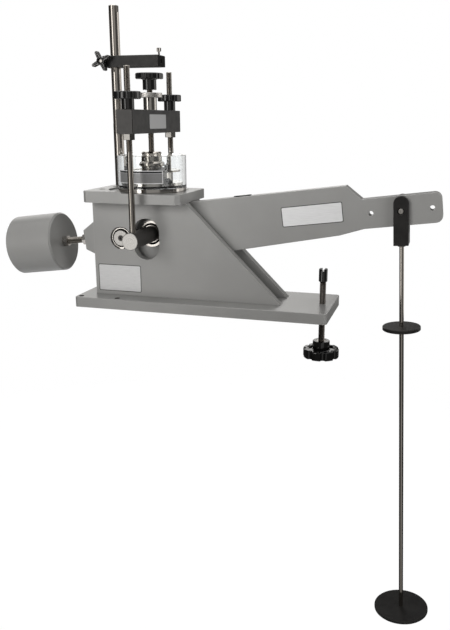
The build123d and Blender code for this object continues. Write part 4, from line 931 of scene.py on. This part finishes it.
# Loading cap: turned steps with broken edges, a coned shoulder and a groove under its crown
CAP_SEGMENTS = 128
DISC_TOP = 2.6 * MM
NECK_RADIUS = 18.7 * MM
FLANGE_RADIUS = 23.2 * MM
FLANGE_FOOT = 9.7 * MM
FLANGE_TOP = 17.0 * MM
FLANGE_EDGE = 1.5 * MM
SHOULDER_TOP = 19.0 * MM
GROOVE_DEPTH = 1.2 * MM
GROOVE_LOW = 8.0 * MM
GROOVE_HIGH = 6.0 * MM
CROWN_EDGE = 2.4 * MM
SEAT_RADIUS = 6.7 * MM
SEAT_DEPTH = 6.0 * MM
BROKEN_EDGE = 0.4 * MM
cap_top = rise("loading_cap")
disc_radius = span("loading_cap").x / 2
groove_foot = cap_top - GROOVE_LOW
groove_top = cap_top - GROOVE_HIGH
profile = [(0, 0), (disc_radius - BROKEN_EDGE, 0), (disc_radius, BROKEN_EDGE)]
profile += [(disc_radius, DISC_TOP - BROKEN_EDGE), (disc_radius - BROKEN_EDGE, DISC_TOP)]
profile += [(NECK_RADIUS, DISC_TOP), (NECK_RADIUS, FLANGE_FOOT)]
profile += [(FLANGE_RADIUS - FLANGE_EDGE, FLANGE_FOOT), (FLANGE_RADIUS, FLANGE_FOOT + FLANGE_EDGE)]
profile += [(FLANGE_RADIUS, FLANGE_TOP - FLANGE_EDGE), (FLANGE_RADIUS - FLANGE_EDGE, FLANGE_TOP)]
profile += [(NECK_RADIUS, SHOULDER_TOP), (NECK_RADIUS, groove_foot - BROKEN_EDGE)]
profile += [(NECK_RADIUS - BROKEN_EDGE, groove_foot), (NECK_RADIUS - GROOVE_DEPTH, groove_foot)]
profile += [(NECK_RADIUS - GROOVE_DEPTH, groove_top), (NECK_RADIUS - BROKEN_EDGE, groove_top)]
profile += [(NECK_RADIUS, groove_top + BROKEN_EDGE), (NECK_RADIUS, cap_top - CROWN_EDGE)]
profile += [(NECK_RADIUS - CROWN_EDGE, cap_top), (SEAT_RADIUS, cap_top)]
profile += [(SEAT_RADIUS, cap_top - SEAT_DEPTH), (0, cap_top - SEAT_DEPTH)]
mesh = turn(foot("loading_cap", "loading_screw"), profile, CAP_SEGMENTS)
make_piece("stepped_loading_cap", mesh, CAP_STEEL, "loading_cap", "stainless", "loading_cap")

# Level vial: a glass tube of spirit with its bubble and two rings
VIAL_RADIUS = 2.5 * MM
VIAL_EDGE = 1.6 * MM
BUBBLE_LENGTH = 6.0 * MM
BUBBLE_RADIUS = 1.5 * MM
BUBBLE_EDGE = 1.4 * MM
BUBBLE_INSET = 1.5 * MM
BUBBLE_LIFT = 1.1 * MM
BUBBLE_SEGMENTS = 24
MARK_OFFSET = 4.0 * MM
MARK_HALF = 0.3 * MM
MARK_PROUD = 0.05 * MM
MARK_SINK = 0.2 * MM
beam_along = -outward
beam_up = Vector((-beam_along.z, 0, beam_along.x))
vial_length = (span("level_vial").x - 2 * VIAL_RADIUS * abs(outward.z)) / abs(outward.x)
vial_end = middle("level_vial") - beam_along * vial_length / 2
profile = rounded(VIAL_RADIUS, 0, vial_length, VIAL_EDGE, 0)
mesh = turn(along(vial_end, beam_along), profile, ROD_SEGMENTS)
make_piece("level_vial_spirit", mesh, FLUID, "beam", "level_glass", "level_vial")
bubble_end = vial_end + beam_along * (vial_length - BUBBLE_LENGTH - BUBBLE_INSET) + beam_up * BUBBLE_LIFT
profile = rounded(BUBBLE_RADIUS, 0, BUBBLE_LENGTH, BUBBLE_EDGE, 0)
mesh = turn(along(bubble_end, beam_along), profile, BUBBLE_SEGMENTS)
make_piece("level_bubble", mesh, PLATE_WHITE, "beam", "level_glass")
profile = rounded(VIAL_RADIUS + MARK_PROUD, -MARK_HALF, MARK_HALF, FINE_EDGE, VIAL_RADIUS - MARK_SINK)
mesh = bmesh.new()
for offset in (-MARK_OFFSET, MARK_OFFSET):
    place = along(middle("level_vial") + beam_along * offset, beam_along)
    turn(place, profile, ROD_SEGMENTS, mesh=mesh)
make_piece("level_rings", mesh, PLATE_DARK, "beam", "black_plastic")

# Blank plates: sizes, and places from the pivot, the base or the crosshead's middle
BEAM_PLATE_SIZE = (108 * MM, 35 * MM)
BEAM_PLATE_ALONG = 356 * MM
BEAM_PLATE_UP = 7.5 * MM
FRAME_PLATE_SIZE = (86 * MM, 51 * MM)
FRAME_PLATE_SHIFT = -5.2 * MM
FRAME_PLATE_HEIGHT = 51.5 * MM
CROSSHEAD_PLATE_SIZE = (80 * MM, 27 * MM)
CROSSHEAD_PLATE_SHIFT = -2 * MM
PLATE_BORDER = 1.2 * MM
PLATE_CORNER = 2.5 * MM
PLATE_TOP = 0.25 * MM
FIELD_CORNER = 1.8 * MM
FIELD_FOOT = 0.1 * MM
FIELD_TOP = 0.33 * MM
PLATE_CORNER_STEPS = 5


def rounded_plate(place, width, height, corner, low, high):
    """A thin plate with round corners, between two heights on a frame whose Z axis leaves the surface."""
    mesh = bmesh.new()
    rims = []
    for level in (low, high):
        rim = []
        for quarter, (right, up) in enumerate(((1, 1), (-1, 1), (-1, -1), (1, -1))):
            centre = Vector((right * (width / 2 - corner), up * (height / 2 - corner), level))
            for step in range(PLATE_CORNER_STEPS + 1):
                angle = (quarter + step / PLATE_CORNER_STEPS) * pi / 2
                rim.append(mesh.verts.new(place @ (centre + corner * Vector((cos(angle), sin(angle), 0)))))
        mesh.faces.new(rim)
        rims.append(rim)
    bottom, top = rims
    for step in range(len(bottom)):
        ahead = (step + 1) % len(bottom)
        mesh.faces.new((bottom[step], bottom[ahead], top[ahead], top[step]))
    return mesh


def blank_plate(name, spot, axes, size, body, field):
    """A plain bordered plate stuck on a face. The axes point right, up and off the face."""
    place = Matrix.Translation(spot) @ Matrix(axes).transposed().to_4x4()
    width, height = size
    mesh = rounded_plate(place, width, height, PLATE_CORNER, TIGHT_FIT, PLATE_TOP)
    make_piece(f"{name}_edge", mesh, PLATE_DARK, body, "black_coat")
    width, height = width - 2 * PLATE_BORDER, height - 2 * PLATE_BORDER
    mesh = rounded_plate(place, width, height, FIELD_CORNER, FIELD_FOOT, FIELD_TOP)
    make_piece(f"{name}_field", mesh, field, body, "stainless")


pivot = Vector(joint("beam_pivot")["pos_m"])
beam_front = Vector((0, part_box("beam")[0][1], 0))
spot = pivot + beam_along * BEAM_PLATE_ALONG + beam_up * BEAM_PLATE_UP + beam_front
axes = (beam_along, beam_up, (0, -1, 0))
blank_plate("beam_plate", spot, axes, BEAM_PLATE_SIZE, "beam", PLATE_WHITE)

spot = (pivot.x + FRAME_PLATE_SHIFT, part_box("front_side_plate")[0][1], FRAME_PLATE_HEIGHT)
axes = ((1, 0, 0), (0, 0, 1), (0, -1, 0))
blank_plate("frame_plate", spot, axes, FRAME_PLATE_SIZE, "frame", PLATE_SILVER)

_, crosshead_y, crosshead_z = middle("crosshead")
spot = (crosshead_high[0], crosshead_y + CROSSHEAD_PLATE_SHIFT, crosshead_z)
axes = ((0, 1, 0), (0, 0, 1), (1, 0, 0))
blank_plate("crosshead_plate", spot, axes, CROSSHEAD_PLATE_SIZE, "yoke", PLATE_SILVER)


def arc(mesh, centre, reach, first, last, height):
    """A row of points round a centre between two angles in degrees."""
    angles = [radians(first + (last - first) * step / ARC_STEPS) for step in range(ARC_STEPS + 1)]
    points = [(centre.x + reach * cos(angle), centre.y + reach * sin(angle), height) for angle in angles]
    return [mesh.verts.new(point) for point in points]


def bridge(mesh, one, other):
    """Faces between two rows of points."""
    for step in range(ARC_STEPS):
        mesh.faces.new((one[step], one[step + 1], other[step + 1], other[step]))


def blank_strip(name, angles, low, high, proud, material, slot):
    """A thin strip bent round the acrylic wall between two angles and two heights."""
    mesh = bmesh.new()
    inside, outside = wall_radius + TIGHT_FIT, wall_radius + proud
    corners = ((inside, low), (inside, high), (outside, high), (outside, low))
    rows = [arc(mesh, cell, reach, *angles, height) for reach, height in corners]
    for one, other in zip(rows, rows[1:] + rows[:1]):
        bridge(mesh, one, other)
    for end in (0, ARC_STEPS):
        mesh.faces.new([row[end] for row in rows])
    make_piece(name, mesh, material, "frame", slot)


# Strip on the acrylic wall: angles, heights and how far each layer stands out
STRIP_ANGLES = (227, 310)
LAYER_ANGLES = (228.2, 308.8)
STRIP_PROUD = 0.15 * MM
LAYER_PROUD = 0.2 * MM
STRIP_HEIGHTS = (229.5 * MM, 252.5 * MM)
BAND_HEIGHTS = (248 * MM, 251.2 * MM)
FIELD_HEIGHTS = (230.8 * MM, 247.6 * MM)
blank_strip("cell_strip_edge", STRIP_ANGLES, *STRIP_HEIGHTS, STRIP_PROUD, PLATE_WHITE, "stainless")
blank_strip("cell_strip_band", LAYER_ANGLES, *BAND_HEIGHTS, LAYER_PROUD, PLATE_DARK, "black_coat")
blank_strip("cell_strip_field", LAYER_ANGLES, *FIELD_HEIGHTS, LAYER_PROUD, PLATE_GREY, "stainless")

# Stage
FLOOR_DROP = 0.5
FLOOR_RADIUS = 3.0
FLOOR_FADE = (1.2, 2.7)
FLOOR_GLOW = 0.91
WHITE = (1, 1, 1, 1)
BLACK = (0, 0, 0, 1)
floor_level = cad_box[0][2] - FLOOR_DROP
stage_middle = (Vector(cad_box[0]) + Vector(cad_box[1])) / 2


def pale_paper():
    """Pale paper that glows where it is only the background, and fades out to its edge."""
    material = new_material("floor_paper", 0.9, 0.0, Emission_Color=WHITE)
    colour(material, 0.4, PAPER)
    shown = background_rays(material)
    into(material, ranged(material, shown, To_Min=0.0, To_Max=FLOOR_GLOW), "Emission Strength")
    place = node(material, "TexCoord").outputs["Object"]
    reach = node(material, "VectorMath", [(place, 0)], "LENGTH").outputs["Value"]
    start, stop = FLOOR_FADE
    into(material, ranged(material, reach, From_Min=start, From_Max=stop, To_Min=1.0, To_Max=0.0), "Alpha")
    return material


mesh = bmesh.new()
bmesh.ops.create_circle(mesh, cap_ends=True, radius=FLOOR_RADIUS, segments=RING_SEGMENTS)
floor = new_object("floor", mesh, pale_paper())
floor.location = (*stage_middle.xy, floor_level)

# Grey cards round the set, which only reflections see: angles, heights and brightness
CARD_REACH = 2.2
CARD_SPLIT = 0.32
CARD_TOP = 2.4
FULL = (floor_level, CARD_TOP)
LOW = (floor_level, CARD_SPLIT)
HIGH = (CARD_SPLIT, CARD_TOP)
CARDS = (
    (-170, -140, FULL, 0.05),
    (-140, -122, FULL, 0.45),
    (-122, -109, FULL, 3.4),
    (-109, -102, FULL, 0.45),
    (-102, -92, FULL, 0.10),
    (-92, -46, FULL, 0.42),
    (-46, 5, FULL, 0.10),
    (5, 21, FULL, 0.25),
    (21, 33, FULL, 1.8),
    (33, 62, FULL, 1.0),
    (62, 92, LOW, 0.4),
    (92, 150, LOW, 0.05),
    (62, 92, HIGH, 0.2),
    (92, 150, HIGH, 1.45),
    (150, 190, FULL, 0.05),
)
HANGER_REACH = 0.6
HANGER = (floor_level, -0.12)
HANGER_CARDS = (
    (-130, -98, HANGER, 0.08),
    (-98, -55, HANGER, 0.46),
    (-55, -40, HANGER, 0.08),
    (-40, 230, HANGER, 0.06),
)
CARD_WHITE = (1, 0.985, 0.96, 1)
SEEN_THROUGH = 0.3
ONE_WALL = 1.5
ONE_WALL_MARGIN = 0.9


def card_paint(brightness):
    """Paint that glows in reflections. Light that only passed one clear wall sees little of it."""
    glow = {"Emission_Color": CARD_WHITE, "Emission_Strength": brightness}
    material = new_material("card", 1.0, 0.0, Base_Color=BLACK, **glow)
    path = node(material, "LightPath").outputs
    walls = [(path["Transmission Depth"], 0), (ONE_WALL, 1), (ONE_WALL_MARGIN, 2)]
    walled = node(material, "Math", walls, "COMPARE").outputs["Value"]
    kept = ranged(material, walled, To_Min=1.0, To_Max=SEEN_THROUGH)
    mirrored = node(material, "Math", [(path["Glossy Depth"], 0), (kept, 1)], "MULTIPLY")
    mirrored.use_clamp = True
    into(material, mirrored.outputs["Value"], "Alpha")
    return material


def card(centre, reach, first, last, heights, brightness):
    """A bent card round a centre."""
    mesh = bmesh.new()
    rows = [arc(mesh, centre, reach, first, last, height) for height in heights]
    bridge(mesh, *rows)
    made = new_object("card", mesh, card_paint(brightness))
    made.visible_camera = False
    made.visible_diffuse = False
    made.visible_shadow = False


for entry in CARDS:
    card(stage_middle, CARD_REACH, *entry)
for entry in HANGER_CARDS:
    card(middle("hanger_rod"), HANGER_REACH, *entry)

# Black flag that keeps the lower half of the key off the foot of the frame
FLAG_CORNERS = (
    (-1.31, -0.51, -0.9),
    (0.96, -1.32, -0.9),
    (0.96, -1.32, 0.55),
    (-1.31, -0.51, 0.0),
)
mesh = bmesh.new()
mesh.faces.new([mesh.verts.new(corner) for corner in FLAG_CORNERS])
flag = new_object("flag", mesh, new_material("flag_felt", 1.0, 0.0, Base_Color=BLACK))
flag.visible_camera = False
flag.visible_diffuse = False
flag.visible_glossy = False
flag.visible_transmission = False

# Light
SUBJECT = Vector((0.15, 0.0, 0.15))


def softbox(name, place, size, power, mirrored):
    """A square area lamp aimed at the subject, which shows in reflections or leaves them to the cards."""
    data = bpy.data.lights.new(name, "AREA")
    data.energy = power
    data.size = size
    lamp = bpy.data.objects.new(name, data)
    bpy.context.collection.objects.link(lamp)
    lamp.location = place
    lamp.rotation_euler = (SUBJECT - Vector(place)).to_track_quat("-Z", "Y").to_euler()
    lamp.visible_glossy = mirrored


softbox("key", (-0.9, -2.95, 0.95), 1.8, 89, False)
softbox("fill", (2.75, -1.1, 0.3), 1.4, 30, False)
softbox("top", (0.1, 0.0, 2.8), 2.0, 20, True)
softbox("back", (-0.7, 2.8, 1.0), 1.8, 46, False)

# World
AMBIENT = 0.18
WARM_WHITE = (1.0, 0.985, 0.965, 1)
world = bpy.data.worlds.new("studio")
bpy.context.scene.world = world
world.use_nodes = True
world.node_tree.nodes.clear()
soft = node(world, "Background", Color=WARM_WHITE, Strength=AMBIENT).outputs["Background"]
white = node(world, "Background", Color=WHITE, Strength=1.0).outputs["Background"]
either = node(world, "MixShader", [(background_rays(world), "Fac"), (soft, 1), (white, 2)])
node(world, "OutputWorld", Surface=either.outputs["Shader"])

# Camera
camera_data = bpy.data.cameras.new("camera")
camera_data.sensor_fit = "HORIZONTAL"
camera_data.sensor_width = SENSOR_WIDTH
camera_data.lens = FOCAL_PIXELS * SENSOR_WIDTH / IMAGE_WIDTH
camera_data.shift_x = (IMAGE_WIDTH / 2 - AXIS_PIXEL_X) / IMAGE_WIDTH
camera = bpy.data.objects.new("camera", camera_data)
bpy.context.collection.objects.link(camera)
level = cos(CAMERA_PITCH)
look = Vector((-sin(CAMERA_YAW) * level, cos(CAMERA_YAW) * level, sin(CAMERA_PITCH)))
camera.location = CAMERA_PLACE
camera.rotation_euler = look.to_track_quat("-Z", "Y").to_euler()
bpy.context.scene.camera = camera
bpy.context.scene.view_settings.view_transform = "Standard"
